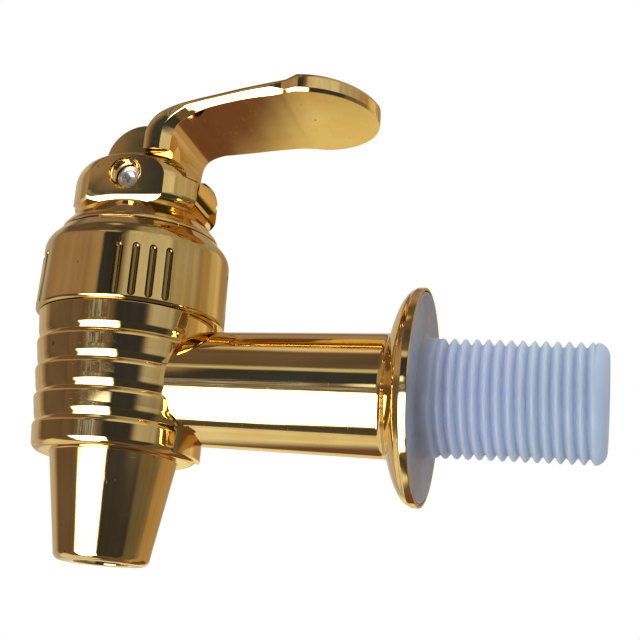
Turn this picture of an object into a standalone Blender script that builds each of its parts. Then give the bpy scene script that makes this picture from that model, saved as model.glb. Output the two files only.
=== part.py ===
"""Beverage dispenser spigot: plated body with a threaded inlet, lift lever and sprung seat plug.

The frame: the origin is the centre of the flange's rear face, where the spigot meets the
dispenser wall. +X runs along the shank into the dispenser, +Z is up. The barrel's axis is
parallel to Z and stands BARREL_REACH in front of the wall.
Every size below is in millimetres, and MM turns it into metres when a mesh is made.
"""
import math

import bmesh
import bpy
from mathutils import Matrix, Vector

MM = 0.001

# Facets round large turned pieces and round small ones
ROUND = 40
SMALL_ROUND = 20

# Clearances between neighbouring pieces
FIT_GAP = 0.3
CLOSE_GAP = 0.2
RUNNING_GAP = 0.25
PRESS_GAP = 0.02

# Shank, flange and inlet
BARREL_REACH = 43.0
SHANK_R_AT_BARREL = 7.75
SHANK_R_AT_FLANGE = 8.45
FLANGE_PLATED_RIM_R = 14.45
DISC_PAST_RIM = 0.25
FLANGE_R = FLANGE_PLATED_RIM_R + DISC_PAST_RIM
FLANGE_DOME_DEPTH = 2.9
FLANGE_FILLET = 1.1
INLET_DISC_THICKNESS = 0.8
THREAD_R = 8.0
INLET_LENGTH = 24.0
INLET_END_ROUND = 1.8
INLET_BORE_R = 4.6
LINER_R = 6.4
LINER_LENGTH = 13.0
SHANK_BORE_R = 5.0
SHANK_BORE_STEP = 0.6
SHANK_BORE_END = 5.0
TAIL_SEAL_SECTION_R = 0.5
TAIL_SEAL_FROM_END = 2.4

# Barrel and nozzle
BARREL_R_TOP = 12.8
BARREL_R_BOTTOM = 11.5
BARREL_TOP = 9.2
BARREL_BOTTOM = -9.0
BARREL_BOTTOM_ROUND = 1.2
RIB_TOP = 5.45
RIB_PITCH = 3.9
RIB_COUNT = 4
RIB_GROOVE_DEPTH = 0.4
RIB_SLOPE_BELOW = 0.6
RIB_SLOPE_ABOVE = 1.3
NOZZLE_R_TOP = 8.85
NOZZLE_R_TIP = 6.6
NOZZLE_TIP = -24.7
NOZZLE_TIP_ROUND = 1.1
NOZZLE_BORE_R_TOP = 4.9
NOZZLE_BORE_R_TIP = 3.8
CHAMBER_R = 9.4
CHAMBER_FLOOR = -8.0
SEAT_LIP_HEIGHT = 0.8
SEAT_LIP_WIDTH = 1.0
ROOT_WALL_R = 11.95
ROOT_WALL_HALF_WIDTH = 5.0
ROOT_WALL_BOTTOM = -9.75
ROOT_RECESS_MARGIN = 0.8
ROOT_RECESS_HALF_WIDTH = 6.5

# Body neck and bonnet
NECK_R = 11.3
NECK_TOP = 16.5
GASKET_THICKNESS = 0.8
BONNET_R_BOTTOM = 13.4
BONNET_R_TOP = 13.2
BONNET_SKIRT_TOP = 18.2
BONNET_EDGE_ROUND = 0.5
BONNET_SHOULDER_ROUND = 3.0
BONNET_LAND_R = 11.3
BONNET_LAND = 21.5
SWIVEL_NECK_R = 7.9
SWIVEL_NECK_TOP = 23.6
GUIDE_TUBE_R = 6.4
GUIDE_TUBE_BOTTOM = 14.6
STEM_SEAL_POCKET_DEPTH = 2.2
STEM_SEAL_SECTION_R = 0.65
GLAND_WASHER_THICKNESS = 0.8
GRIP_GROUPS = 4
GRIPS_IN_GROUP = 4
GRIP_PITCH_DEG = 10.5
GRIP_GROUP_CENTRE_DEG = -64.0
GRIP_WIDTH = 1.1
GRIP_DEPTH = 0.55
GRIP_BOTTOM = 9.75
GRIP_TOP = 17.3

# Snap ring that keeps the yoke on the bonnet
SNAP_RING_THICKNESS = 0.5
SNAP_RING_INNER_R = 7.35
SNAP_RING_OUTER_R = 8.6
SNAP_RING_BOTTOM = 22.55
SNAP_RING_OPENING_DEG = 24.0

# Yoke, its heights measured from the pivot where they are not the collar's own
YOKE_R = 10.6
YOKE_TOP_ABOVE_PIVOT = 3.65
YOKE_DOME_R = 4.6
YOKE_DOME_BELOW_PIVOT = 0.2
NEAR_EAR_R = 10.4
NEAR_EAR_REARWARD = 0.3
NEAR_EAR_DOME_R = 4.1
NEAR_EAR_TOP_ABOVE_PIVOT = 3.4
YOKE_WAIST_R = 9.0
YOKE_WAIST_BELOW_SLOT = 0.3
YOKE_ROOF_THICKNESS = 0.9
EAR_UNDERSIDE_ROUND = 1.5
COLLAR_R = 11.2
SLOT_HALF_WIDTH = 4.7
EAR_FLAT = 8.8
EAR_FLAT_CHAMFER = 0.7
LEDGE_ABOVE_PIVOT = 0.2
LEDGE_HALF_WIDTH = 6.5
LEDGE_INNER_R = 3.1
YOKE_STEM_GAP = 0.6

# Pivot
PIVOT_HEIGHT = 28.7
SCREW_R = 1.0
SCREW_HEAD_R = 1.9
SCREW_HEAD_HEIGHT = 2.0
SCREW_SOCKET_FLATS = 1.5
SCREW_SOCKET_DEPTH = 1.1
SCREW_LENGTH = 14.0
COUNTERBORE_R = 2.3
COUNTERBORE_FLOOR = 5.7
NUT_FLATS = 4.0
NUT_THICKNESS = 1.6
NUT_POCKET_FLOOR = 6.6
SLEEVE_R = 1.6

# Lever, in side view measured from the pivot
HUB_HALF_WIDTH = 4.4
HUB_BOSS_R = 3.5
HUB_CROWN_R = 5.6
HUB_CROWN_REARWARD = 0.7
HUB_CROWN_UP = 3.35
HEEL_HALF_WIDTH = 6.1
HEEL_INNER_R = 3.4
HEEL_REAR = 5.8
NECK_FRONT = 1.85
NECK_REAR = 5.7
NECK_BASE = 3.95
LEVER_HALF_WIDTH_NECK = 8.2
LEVER_HALF_WIDTH_BLADE = 10.3
LEVER_HALF_WIDTH_PAD = 10.8
PAD_CENTRE = 24.0
PAD_LENGTH = 9.8
PAD_TOP = 13.85
PAD_UNDERSIDE = 11.2
PAD_TOP_FALL = 0.5
LEVER_CHAMFER = 0.85
LEVER_TOP_EDGE = 0.35

# Stem drive: spiral tracks in the lever lift the cross pin evenly with the angle
LEVER_RANGE_DEG = 40.0
STEM_LIFT = 2.4
PIN_R = 0.8
PIN_HALF_LENGTH = 3.3
PIN_START_R = 3.1
TRACK_HALF_DEPTH = 3.6
BLADE_HALF_THICKNESS = 1.7
EYE_WALL = 0.6
EYE_ROOM_MARGIN = 0.9
STEM_R = 3.0
PLUG_STEM_NECK_R = 2.0
PLUG_STEM_KNOB_R = 2.7
STEM_KNOB_TOP = -2.6
STEM_KNOB_BOTTOM = -4.7

# Spring and its seat on the stem
SPRING_WIRE_R = 0.45
SPRING_MEAN_R = 4.9
SPRING_TURNS = 6.0
SPRING_BOTTOM = 4.2
SPRING_WASHER_R = 6.4
SPRING_WASHER_THICKNESS = 0.8
CLIP_R = 4.6
CLIP_THICKNESS = 0.6
CLIP_GROOVE_R = 2.3
CLIP_OPENING_DEG = 70.0

# Seat plug
PLUG_R = 7.1
PLUG_TOP = -0.9
PLUG_RIM_TOP = -4.9
PLUG_NOSE_R = 3.7
PLUG_NOSE_LENGTH = 1.6
PLUG_WAIST_R = 5.2
PLUG_COLLAR_R = 4.6

# Heights and places that follow from the sizes above
PIVOT = Vector((0.0, 0.0, PIVOT_HEIGHT))
LIFT_PER_DEGREE = STEM_LIFT / LEVER_RANGE_DEG
YOKE_TOP = PIVOT_HEIGHT + YOKE_TOP_ABOVE_PIVOT
SLOT_FLOOR = PIVOT_HEIGHT - HUB_BOSS_R - FIT_GAP
YOKE_WAIST = SLOT_FLOOR - YOKE_WAIST_BELOW_SLOT
YOKE_ROOF = SLOT_FLOOR - YOKE_ROOF_THICKNESS
STEM_FLATS_FROM = SLOT_FLOOR - STEM_LIFT


def clear_scene():
    """Remove whatever objects the file opened with."""
    for item in list(bpy.data.objects):
        bpy.data.objects.remove(item, do_unlink=True)


def make_material(name, colour, metallic, roughness):
    """Plain Principled material in the piece's own colour."""
    material = bpy.data.materials.new(name)
    material.use_nodes = True
    shader = material.node_tree.nodes["Principled BSDF"]
    shader.inputs["Base Color"].default_value = (*colour, 1.0)
    shader.inputs["Metallic"].default_value = metallic
    shader.inputs["Roughness"].default_value = roughness
    material.diffuse_color = (*colour, 1.0)
    return material


def make_empty(name, place, parent=None):
    """Empty that carries the pieces turning or sliding about one joint axis."""
    empty = bpy.data.objects.new(name, None)
    bpy.context.scene.collection.objects.link(empty)
    empty.location = place * MM
    empty.parent = parent
    return empty


def make_object(name, shape, material, parent=None, sharp_deg=35.0):
    """Turn a bmesh in millimetres into an object, shaded smooth across its soft edges."""
    bmesh.ops.scale(shape, vec=(MM, MM, MM), verts=shape.verts)
    bmesh.ops.remove_doubles(shape, verts=shape.verts, dist=1e-7)
    bmesh.ops.recalc_face_normals(shape, faces=shape.faces)
    mesh = bpy.data.meshes.new(name)
    shape.to_mesh(mesh)
    shape.free()
    mesh.shade_smooth()
    mesh.set_sharp_from_angle(angle=math.radians(sharp_deg))
    if material is not None:
        mesh.materials.append(material)
    thing = bpy.data.objects.new(name, mesh)
    bpy.context.scene.collection.objects.link(thing)
    thing.parent = parent
    return thing


def combine(target, tool, operation="DIFFERENCE"):
    """Cut, add or intersect with a helper shape that stays out of the render."""
    modifier = target.modifiers.new(tool.name, "BOOLEAN")
    modifier.operation = operation
    modifier.solver = "EXACT"
    modifier.object = tool
    tool.hide_render = True
    tool.display_type = "WIRE"


def arc(centre, radius, start_deg, end_deg, steps):
    """Points on an arc, both ends included."""
    points = []
    for step in range(steps + 1):
        angle = math.radians(start_deg + (end_deg - start_deg) * step / steps)
        x = centre[0] + radius * math.cos(angle)
        y = centre[1] + radius * math.sin(angle)
        points.append((x, y))
    return points


def turned(profile, segments=ROUND):
    """Solid of revolution about Z from a closed (radius, height) outline."""
    shape = bmesh.new()
    ring = [shape.verts.new((radius, 0.0, height)) for radius, height in profile]
    edges = []
    for index, vert in enumerate(ring):
        following = ring[(index + 1) % len(ring)]
        on_axis = vert.co.x < 1e-9 and following.co.x < 1e-9
        if not on_axis:
            edges.append(shape.edges.new((vert, following)))
    bmesh.ops.spin(
        shape,
        geom=ring + edges,
        cent=(0.0, 0.0, 0.0),
        axis=(0.0, 0.0, 1.0),
        angle=math.tau,
        steps=segments,
        use_merge=True,
    )
    bmesh.ops.remove_doubles(shape, verts=shape.verts, dist=1e-5)
    loose = [vert for vert in shape.verts if not vert.link_faces]
    bmesh.ops.delete(shape, geom=loose, context="VERTS")
    return shape


def turned_along_x(profile, segments=ROUND):
    """Solid of revolution about X from a closed (radius, position) outline."""
    shape = turned(profile, segments)
    quarter = Matrix.Rotation(math.radians(90.0), 4, "Y")
    bmesh.ops.transform(shape, matrix=quarter, verts=shape.verts)
    return shape


def extruded(outline, low, high, axis):
    """Closed prism: a flat outline pushed along one axis from low to high."""
    places = {
        "X": lambda a, b: Vector((low, a, b)),
        "Y": lambda a, b: Vector((a, low, b)),
        "Z": lambda a, b: Vector((a, b, low)),
    }
    push = {"X": Vector((1, 0, 0)), "Y": Vector((0, 1, 0)), "Z": Vector((0, 0, 1))}
    shape = bmesh.new()
    face = shape.faces.new([shape.verts.new(places[axis](a, b)) for a, b in outline])
    result = bmesh.ops.extrude_face_region(shape, geom=[face])
    moved = [item for item in result["geom"] if isinstance(item, bmesh.types.BMVert)]
    bmesh.ops.translate(shape, vec=push[axis] * (high - low), verts=moved)
    bmesh.ops.recalc_face_normals(shape, faces=shape.faces)
    return shape


def cylinder_along_y(radius, low, high, centre=(0.0, 0.0), segments=SMALL_ROUND):
    """Round rod or hole along Y, centred at (x, z)."""
    circle = arc(centre, radius, 0.0, 360.0, segments)[:-1]
    return extruded(circle, low, high, "Y")


def box(low, high):
    """Rectangular block between two corners."""
    outline = [(low[0], low[1]), (high[0], low[1]), (high[0], high[1]), (low[0], high[1])]
    return extruded(outline, low[2], high[2], "Z")


def hull_outline(points):
    """Convex outline round a set of flat points, counter-clockwise."""
    ordered = sorted(set((round(a, 6), round(b, 6)) for a, b in points))

    def half(chain):
        kept = []
        for point in chain:
            while len(kept) > 1 and turn(kept[-2], kept[-1], point) <= 1e-7:
                kept.pop()
            kept.append(point)
        return kept[:-1]

    def turn(first, second, third):
        first_step = (second[0] - first[0]) * (third[1] - first[1])
        second_step = (second[1] - first[1]) * (third[0] - first[0])
        return first_step - second_step

    return half(ordered) + half(reversed(ordered))


def smooth_through(points, steps):
    """Catmull-Rom curve through the points, with a few steps in each span."""
    first = points[0] * 2.0 - points[1]
    last = points[-1] * 2.0 - points[-2]
    padded = [first] + points + [last]
    curve = []
    for index in range(1, len(padded) - 2):
        p0, p1, p2, p3 = padded[index - 1:index + 3]
        for step in range(steps):
            t = step / steps
            curve.append(0.5 * (
                2.0 * p1
                + (p2 - p0) * t
                + (2.0 * p0 - 5.0 * p1 + 4.0 * p2 - p3) * t * t
                + (3.0 * p1 - p0 - 3.0 * p2 + p3) * t * t * t
            ))
    curve.append(points[-1])
    return curve


def ring_washer(inner, outer, bottom, top, segments=ROUND):
    """Flat washer, tube or ring."""
    profile = [(inner, bottom), (outer, bottom), (outer, top), (inner, top)]
    return turned(profile, segments)


def open_ring(inner, outer, bottom, top, opening_deg, steps):
    """Flat ring with a gap, as a snap ring or retaining clip has."""
    half_gap = opening_deg / 2.0
    outline = arc((0.0, 0.0), outer, half_gap, 360.0 - half_gap, steps)
    outline += arc((0.0, 0.0), inner, 360.0 - half_gap, half_gap, steps)
    return extruded(outline, bottom, top, "Z")


def seal_ring(section_r, centre_r, height, segments=24):
    """Ring of round section."""
    profile = arc((centre_r, height), section_r, 0.0, 360.0, 8)[:-1]
    return turned(profile, segments)


def hexagon(flats):
    """Regular hexagon outline by its width across flats."""
    corner = flats / math.sqrt(3.0)
    return arc((0.0, 0.0), corner, 0.0, 360.0, 6)[:-1]


def barrel_radius(height):
    """The barrel narrows slightly towards the nozzle."""
    share = (height - BARREL_BOTTOM) / (BARREL_TOP - BARREL_BOTTOM)
    return BARREL_R_BOTTOM + (BARREL_R_TOP - BARREL_R_BOTTOM) * share


def rib_groove_points(height):
    """V-shaped groove between two bands: the band above curls under in two slopes."""
    radius = barrel_radius(height)
    knee = RIB_SLOPE_ABOVE * 0.45
    return [
        (radius, height - RIB_SLOPE_BELOW),
        (radius - RIB_GROOVE_DEPTH, height),
        (radius - RIB_GROOVE_DEPTH * 0.35, height + knee),
        (radius, height + RIB_SLOPE_ABOVE),
    ]


def barrel_outline():
    """Half section of nozzle, ribbed barrel and bonnet neck round the hollow chamber."""
    tip_round = NOZZLE_TIP_ROUND
    outline = [(NOZZLE_BORE_R_TIP, NOZZLE_TIP)]
    outline += arc((NOZZLE_R_TIP - tip_round, NOZZLE_TIP + tip_round), tip_round, -90, 0, 3)
    underside = BARREL_BOTTOM - BARREL_BOTTOM_ROUND
    outline.append((NOZZLE_R_TOP, underside))
    corner = (BARREL_R_BOTTOM - BARREL_BOTTOM_ROUND, BARREL_BOTTOM)
    outline += arc(corner, BARREL_BOTTOM_ROUND, -90, 0, 4)
    for index in reversed(range(RIB_COUNT)):
        outline += rib_groove_points(RIB_TOP - RIB_PITCH * index)
    outline += [(BARREL_R_TOP, BARREL_TOP - 0.15), (BARREL_R_TOP - 0.15, BARREL_TOP)]
    outline += [(NECK_R, BARREL_TOP), (NECK_R, NECK_TOP), (CHAMBER_R, NECK_TOP)]
    lip_inner = NOZZLE_BORE_R_TOP
    lip_top = CHAMBER_FLOOR + SEAT_LIP_HEIGHT
    lip_outer = lip_inner + SEAT_LIP_WIDTH
    outline += [
        (CHAMBER_R, CHAMBER_FLOOR),
        (lip_outer + SEAT_LIP_HEIGHT * 0.5, CHAMBER_FLOOR),
        (lip_outer, lip_top),
        (lip_inner, lip_top),
        (lip_inner, CHAMBER_FLOOR - 2.0),
        (NOZZLE_BORE_R_TIP, NOZZLE_TIP + 2.0),
    ]
    return outline


def flange_outline():
    """Shank with its domed flange, as (radius, x) measured from the wall."""
    rim = -INLET_DISC_THICKNESS - CLOSE_GAP
    edge = 0.15
    foot = SHANK_R_AT_FLANGE + FLANGE_FILLET
    outline = [(0.0, rim), (FLANGE_PLATED_RIM_R - edge, rim)]
    for share in (0.0, 0.12, 0.28, 0.45, 0.64, 0.82, 1.0):
        across = FLANGE_PLATED_RIM_R - (FLANGE_PLATED_RIM_R - foot) * share * share
        outline.append((across, rim - edge - FLANGE_DOME_DEPTH * share))
    front = rim - edge - FLANGE_DOME_DEPTH
    outline += arc((foot, front - FLANGE_FILLET), FLANGE_FILLET, 90, 180, 3)[1:]
    outline += [(SHANK_R_AT_BARREL, -BARREL_REACH), (0.0, -BARREL_REACH)]
    return outline


def build_body(material):
    """One moulding: nozzle, ribbed barrel, shank and the plated front of the flange."""
    barrel_axis = Matrix.Translation(Vector((-BARREL_REACH, 0.0, 0.0)))

    def at_barrel(shape):
        bmesh.ops.transform(shape, matrix=barrel_axis, verts=shape.verts)
        return shape

    def round_core(radius):
        """Upright core round the barrel's axis, taller than the body."""
        tall = NECK_TOP - NOZZLE_TIP
        profile = [(0.0, -tall), (radius, -tall), (radius, tall), (0.0, tall)]
        shape = turned(profile)
        off_step = Matrix.Rotation(math.tau / ROUND / 4.0, 4, "Z")
        bmesh.ops.transform(shape, matrix=off_step, verts=shape.verts)
        return at_barrel(shape)

    body = make_object("body", at_barrel(turned(barrel_outline())), material)
    wall_middle = (CHAMBER_R + ROOT_WALL_R) / 2.0
    recess_r = SHANK_R_AT_BARREL + ROOT_RECESS_MARGIN

    low = (wall_middle - 0.4, -ROOT_WALL_HALF_WIDTH, ROOT_WALL_BOTTOM)
    high = (ROOT_WALL_R + 0.5, ROOT_WALL_HALF_WIDTH, -recess_r * 0.5)
    combine(body, make_object("root_wall", at_barrel(box(low, high)), None), "UNION")

    side = ROOT_RECESS_HALF_WIDTH
    leg = ROOT_WALL_HALF_WIDTH + 0.05
    meet_deg = math.degrees(math.acos(side / recess_r))
    leg_deg = math.degrees(math.acos(leg / recess_r))
    leg_end = ROOT_WALL_BOTTOM - 3.0
    arch = [(side, BARREL_TOP + 0.05)]
    arch += arc((0.0, 0.0), recess_r, meet_deg, -leg_deg, 8)
    arch += [(leg, leg_end), (-leg, leg_end)]
    arch += arc((0.0, 0.0), recess_r, 180.0 + leg_deg, 180.0 - meet_deg, 8)
    arch += [(-side, BARREL_TOP + 0.05)]
    beyond = BARREL_R_TOP + 3.0
    recess = make_object("root_recess", at_barrel(extruded(arch, 2.0, beyond, "X")), None)
    combine(recess, make_object("root_recess_core", round_core(ROOT_WALL_R), None))
    combine(body, recess)

    shank = make_object("shank", turned_along_x(flange_outline()), None)
    combine(shank, make_object("shank_core", round_core(wall_middle), None))
    combine(body, shank, "UNION")
    liner_seat = LINER_R + FIT_GAP
    bore = [
        (0.0, 1.0),
        (liner_seat, 1.0),
        (liner_seat, -LINER_LENGTH - FIT_GAP),
        (SHANK_BORE_R, -LINER_LENGTH - FIT_GAP - SHANK_BORE_STEP),
        (SHANK_BORE_R, -BARREL_REACH + SHANK_BORE_END),
        (0.0, -BARREL_REACH + SHANK_BORE_END),
    ]
    combine(body, make_object("shank_bore_cut", turned_along_x(bore), None))
    return body


def build_threaded_inlet(material):
    """Translucent inlet piece: rear disc, threaded tail and the liner inside the shank."""
    seal_at = tail_seal_place()
    groove = seal_groove_r()
    half = TAIL_SEAL_SECTION_R + CLOSE_GAP
    outline = [
        (INLET_BORE_R, -LINER_LENGTH),
        (INLET_BORE_R, INLET_LENGTH - 0.6),
        (INLET_BORE_R + 0.6, INLET_LENGTH),
    ]
    corner = (THREAD_R - INLET_END_ROUND, INLET_LENGTH - INLET_END_ROUND)
    outline += [(corner[0] + INLET_END_ROUND * math.sin(math.radians(angle)),
                 corner[1] + INLET_END_ROUND * math.cos(math.radians(angle)))
                for angle in (0.0, 30.0, 60.0, 90.0)]
    outline += [
        (THREAD_R, 0.4),
        (THREAD_R + 0.4, 0.0),
        (FLANGE_R - 0.25, 0.0),
        (FLANGE_R, -0.25),
        (FLANGE_R, -INLET_DISC_THICKNESS + 0.1),
        (FLANGE_R - 0.1, -INLET_DISC_THICKNESS),
        (LINER_R, -INLET_DISC_THICKNESS),
        (LINER_R, seal_at + half),
        (groove, seal_at + half),
        (groove, seal_at - half),
        (LINER_R, seal_at - half),
        (LINER_R, -LINER_LENGTH),
    ]
    return make_object("threaded_inlet", turned_along_x(outline), material)


def tail_seal_place():
    """Middle of the seal ring's groove along the liner."""
    return -LINER_LENGTH + TAIL_SEAL_FROM_END


def seal_groove_r():
    """Bottom radius of the seal groove round the liner."""
    return LINER_R - 2.0 * TAIL_SEAL_SECTION_R


def build_tail_seal(material):
    """Ring in the liner's groove that seals it to the shank bore."""
    centre_r = seal_groove_r() + CLOSE_GAP + TAIL_SEAL_SECTION_R
    shape = seal_ring(TAIL_SEAL_SECTION_R, centre_r, tail_seal_place())
    quarter = Matrix.Rotation(math.radians(90.0), 4, "Y")
    bmesh.ops.transform(shape, matrix=quarter, verts=shape.verts)
    return make_object("inlet_seal_ring", shape, material)


def gasket_bottom():
    """The bonnet gasket lies on the body's neck."""
    return NECK_TOP + FIT_GAP


def bonnet_ceiling():
    """Underside of the bonnet's top, just above its gasket."""
    return gasket_bottom() + GASKET_THICKNESS + FIT_GAP


def bonnet_outline():
    """Half section of the bonnet: skirt, shoulder, swivel neck and stem guide tube."""
    skirt_bottom = BARREL_TOP + FIT_GAP
    edge = BONNET_EDGE_ROUND
    bore = STEM_R + FIT_GAP
    seal_pocket = STEM_R + CLOSE_GAP + 2.0 * STEM_SEAL_SECTION_R + CLOSE_GAP
    groove_low = SNAP_RING_BOTTOM - 0.1
    groove_high = SNAP_RING_BOTTOM + SNAP_RING_THICKNESS + 0.1
    groove_r = SNAP_RING_INNER_R - CLOSE_GAP
    outline = [(BONNET_R_BOTTOM - edge, skirt_bottom)]
    outline += arc((BONNET_R_BOTTOM - edge, skirt_bottom + edge), edge, -60, 0, 2)
    centre = (BONNET_R_TOP - BONNET_SHOULDER_ROUND, BONNET_SKIRT_TOP)
    outline += arc(centre, BONNET_SHOULDER_ROUND, 0, 48, 4)
    outline += [
        (BONNET_LAND_R, BONNET_LAND - 0.1),
        (BONNET_LAND_R - 0.15, BONNET_LAND),
        (SWIVEL_NECK_R, BONNET_LAND),
        (SWIVEL_NECK_R, groove_low),
        (groove_r, groove_low),
        (groove_r, groove_high),
        (SWIVEL_NECK_R, groove_high),
        (SWIVEL_NECK_R, SWIVEL_NECK_TOP - 0.15),
        (SWIVEL_NECK_R - 0.3, SWIVEL_NECK_TOP),
        (bore, SWIVEL_NECK_TOP),
        (bore, GUIDE_TUBE_BOTTOM + STEM_SEAL_POCKET_DEPTH),
        (seal_pocket, GUIDE_TUBE_BOTTOM + STEM_SEAL_POCKET_DEPTH),
        (seal_pocket, GUIDE_TUBE_BOTTOM),
        (GUIDE_TUBE_R, GUIDE_TUBE_BOTTOM),
        (GUIDE_TUBE_R, bonnet_ceiling()),
        (NECK_R + FIT_GAP, bonnet_ceiling()),
        (NECK_R + FIT_GAP, skirt_bottom),
    ]
    return outline


def grip_cutters():
    """Upright round-ended flutes in groups, as one helper of many separate rods."""
    shape = bmesh.new()
    radius = GRIP_WIDTH / 2.0
    low = GRIP_BOTTOM + radius
    high = GRIP_TOP - radius
    profile = [(0.0, low - radius)]
    profile += arc((0.0, low), radius, -45, 0, 1) + arc((0.0, high), radius, 0, 45, 1)
    profile += [(0.0, high + radius)]
    for group in range(GRIP_GROUPS):
        for index in range(GRIPS_IN_GROUP):
            offset = (index - (GRIPS_IN_GROUP - 1) / 2.0) * GRIP_PITCH_DEG
            angle = GRIP_GROUP_CENTRE_DEG + 360.0 / GRIP_GROUPS * group + offset
            rod = turned(profile, 8)
            reach = (BONNET_R_BOTTOM + BONNET_R_TOP) / 2.0 + radius - GRIP_DEPTH
            place = Matrix.Rotation(math.radians(angle), 4, "Z")
            place = place @ Matrix.Translation(Vector((reach, 0.0, 0.0)))
            bmesh.ops.transform(rod, matrix=place, verts=rod.verts)
            bmesh.ops.recalc_face_normals(rod, faces=rod.faces)
            part = bpy.data.meshes.new("grip_rod")
            rod.to_mesh(part)
            rod.free()
            shape.from_mesh(part)
            bpy.data.meshes.remove(part)
    return shape


def build_bonnet(material, barrel):
    """Fluted cap that closes the barrel, guides the stem and carries the yoke."""
    bonnet = make_object("bonnet", turned(bonnet_outline()), material, barrel)
    combine(bonnet, make_object("grip_cutters", grip_cutters(), None, barrel))
    return bonnet


def build_bonnet_gasket(material, barrel):
    """Flat ring between the body's neck and the bonnet."""
    inner = CHAMBER_R + FIT_GAP
    outer = NECK_R - 0.1
    bottom = gasket_bottom()
    shape = ring_washer(inner, outer, bottom, bottom + GASKET_THICKNESS)
    return make_object("bonnet_gasket", shape, material, barrel)


def build_stem_seal(material, barrel):
    """Ring that seals the sliding stem inside the guide tube."""
    centre_r = STEM_R + CLOSE_GAP + STEM_SEAL_SECTION_R
    height = GUIDE_TUBE_BOTTOM + STEM_SEAL_POCKET_DEPTH - CLOSE_GAP - STEM_SEAL_SECTION_R
    shape = seal_ring(STEM_SEAL_SECTION_R, centre_r, height)
    return make_object("stem_seal_ring", shape, material, barrel)


def gland_top():
    """The gland washer sits just under the guide tube."""
    return GUIDE_TUBE_BOTTOM - FIT_GAP


def gland_bottom():
    """Underside of the gland washer, against which the spring pushes."""
    return gland_top() - GLAND_WASHER_THICKNESS


def build_gland_washer(material, barrel):
    """Washer that holds the seal ring in its pocket and takes the spring's upper end."""
    shape = ring_washer(STEM_R + FIT_GAP, GUIDE_TUBE_R, gland_bottom(), gland_top(), 32)
    return make_object("gland_washer", shape, material, barrel)


def yoke_outline():
    """Half section of the yoke blank: collar, waist and domed top over the swivel bore."""
    swivel_bore = SWIVEL_NECK_R + FIT_GAP
    groove_low = SNAP_RING_BOTTOM - 0.1
    groove_high = SNAP_RING_BOTTOM + SNAP_RING_THICKNESS + 0.1
    collar_bottom = BONNET_LAND + FIT_GAP
    dome = (YOKE_R - YOKE_DOME_R, PIVOT_HEIGHT - YOKE_DOME_BELOW_PIVOT)
    dome_end_deg = math.degrees(math.asin((YOKE_TOP - dome[1]) / YOKE_DOME_R))
    stem_hole = STEM_R + YOKE_STEM_GAP
    under = EAR_UNDERSIDE_ROUND
    outline = [
        (swivel_bore, collar_bottom),
        (COLLAR_R - 0.2, collar_bottom),
        (COLLAR_R, collar_bottom + 0.2),
        (COLLAR_R - 0.1, collar_bottom + 0.5),
        (YOKE_WAIST_R, YOKE_WAIST),
    ]
    outline += arc((YOKE_R - under, YOKE_WAIST + 0.1 + under), under, -75, 0, 3)
    outline += arc(dome, YOKE_DOME_R, 0, dome_end_deg, 5)
    outline += [
        (0.0, YOKE_TOP),
        (0.0, YOKE_ROOF + 0.5),
        (stem_hole, YOKE_ROOF + 0.5),
        (stem_hole, YOKE_ROOF),
        (swivel_bore, YOKE_ROOF),
        (swivel_bore, groove_high),
        (SNAP_RING_OUTER_R + CLOSE_GAP, groove_high),
        (SNAP_RING_OUTER_R + CLOSE_GAP, groove_low),
        (swivel_bore, groove_low),
    ]
    return outline


def near_ear_outline():
    """Half section that the near ear is trimmed to, a little smaller than the blank."""
    dome = (NEAR_EAR_R - NEAR_EAR_DOME_R, PIVOT_HEIGHT - 2.0 * YOKE_DOME_BELOW_PIVOT)
    top = PIVOT_HEIGHT + NEAR_EAR_TOP_ABOVE_PIVOT
    end_deg = math.degrees(math.asin((top - dome[1]) / NEAR_EAR_DOME_R))
    outline = [(0.0, YOKE_ROOF), (NEAR_EAR_R, YOKE_ROOF)]
    outline += arc(dome, NEAR_EAR_DOME_R, 0, end_deg, 5)
    return outline + [(0.0, top)]


def ledge_outline():
    """Side view of the near ear's relief above its stop ledge, clear of the pivot."""
    ledge = LEDGE_ABOVE_PIVOT
    start = math.degrees(math.asin(ledge / LEDGE_INNER_R))
    over = YOKE_TOP - PIVOT_HEIGHT + 1.0
    outline = arc((0.0, 0.0), LEDGE_INNER_R, start, 112.0, 10)
    outline += [(-2.2, over), (YOKE_R + 1.0, over), (YOKE_R + 1.0, ledge)]
    return outline


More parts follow.
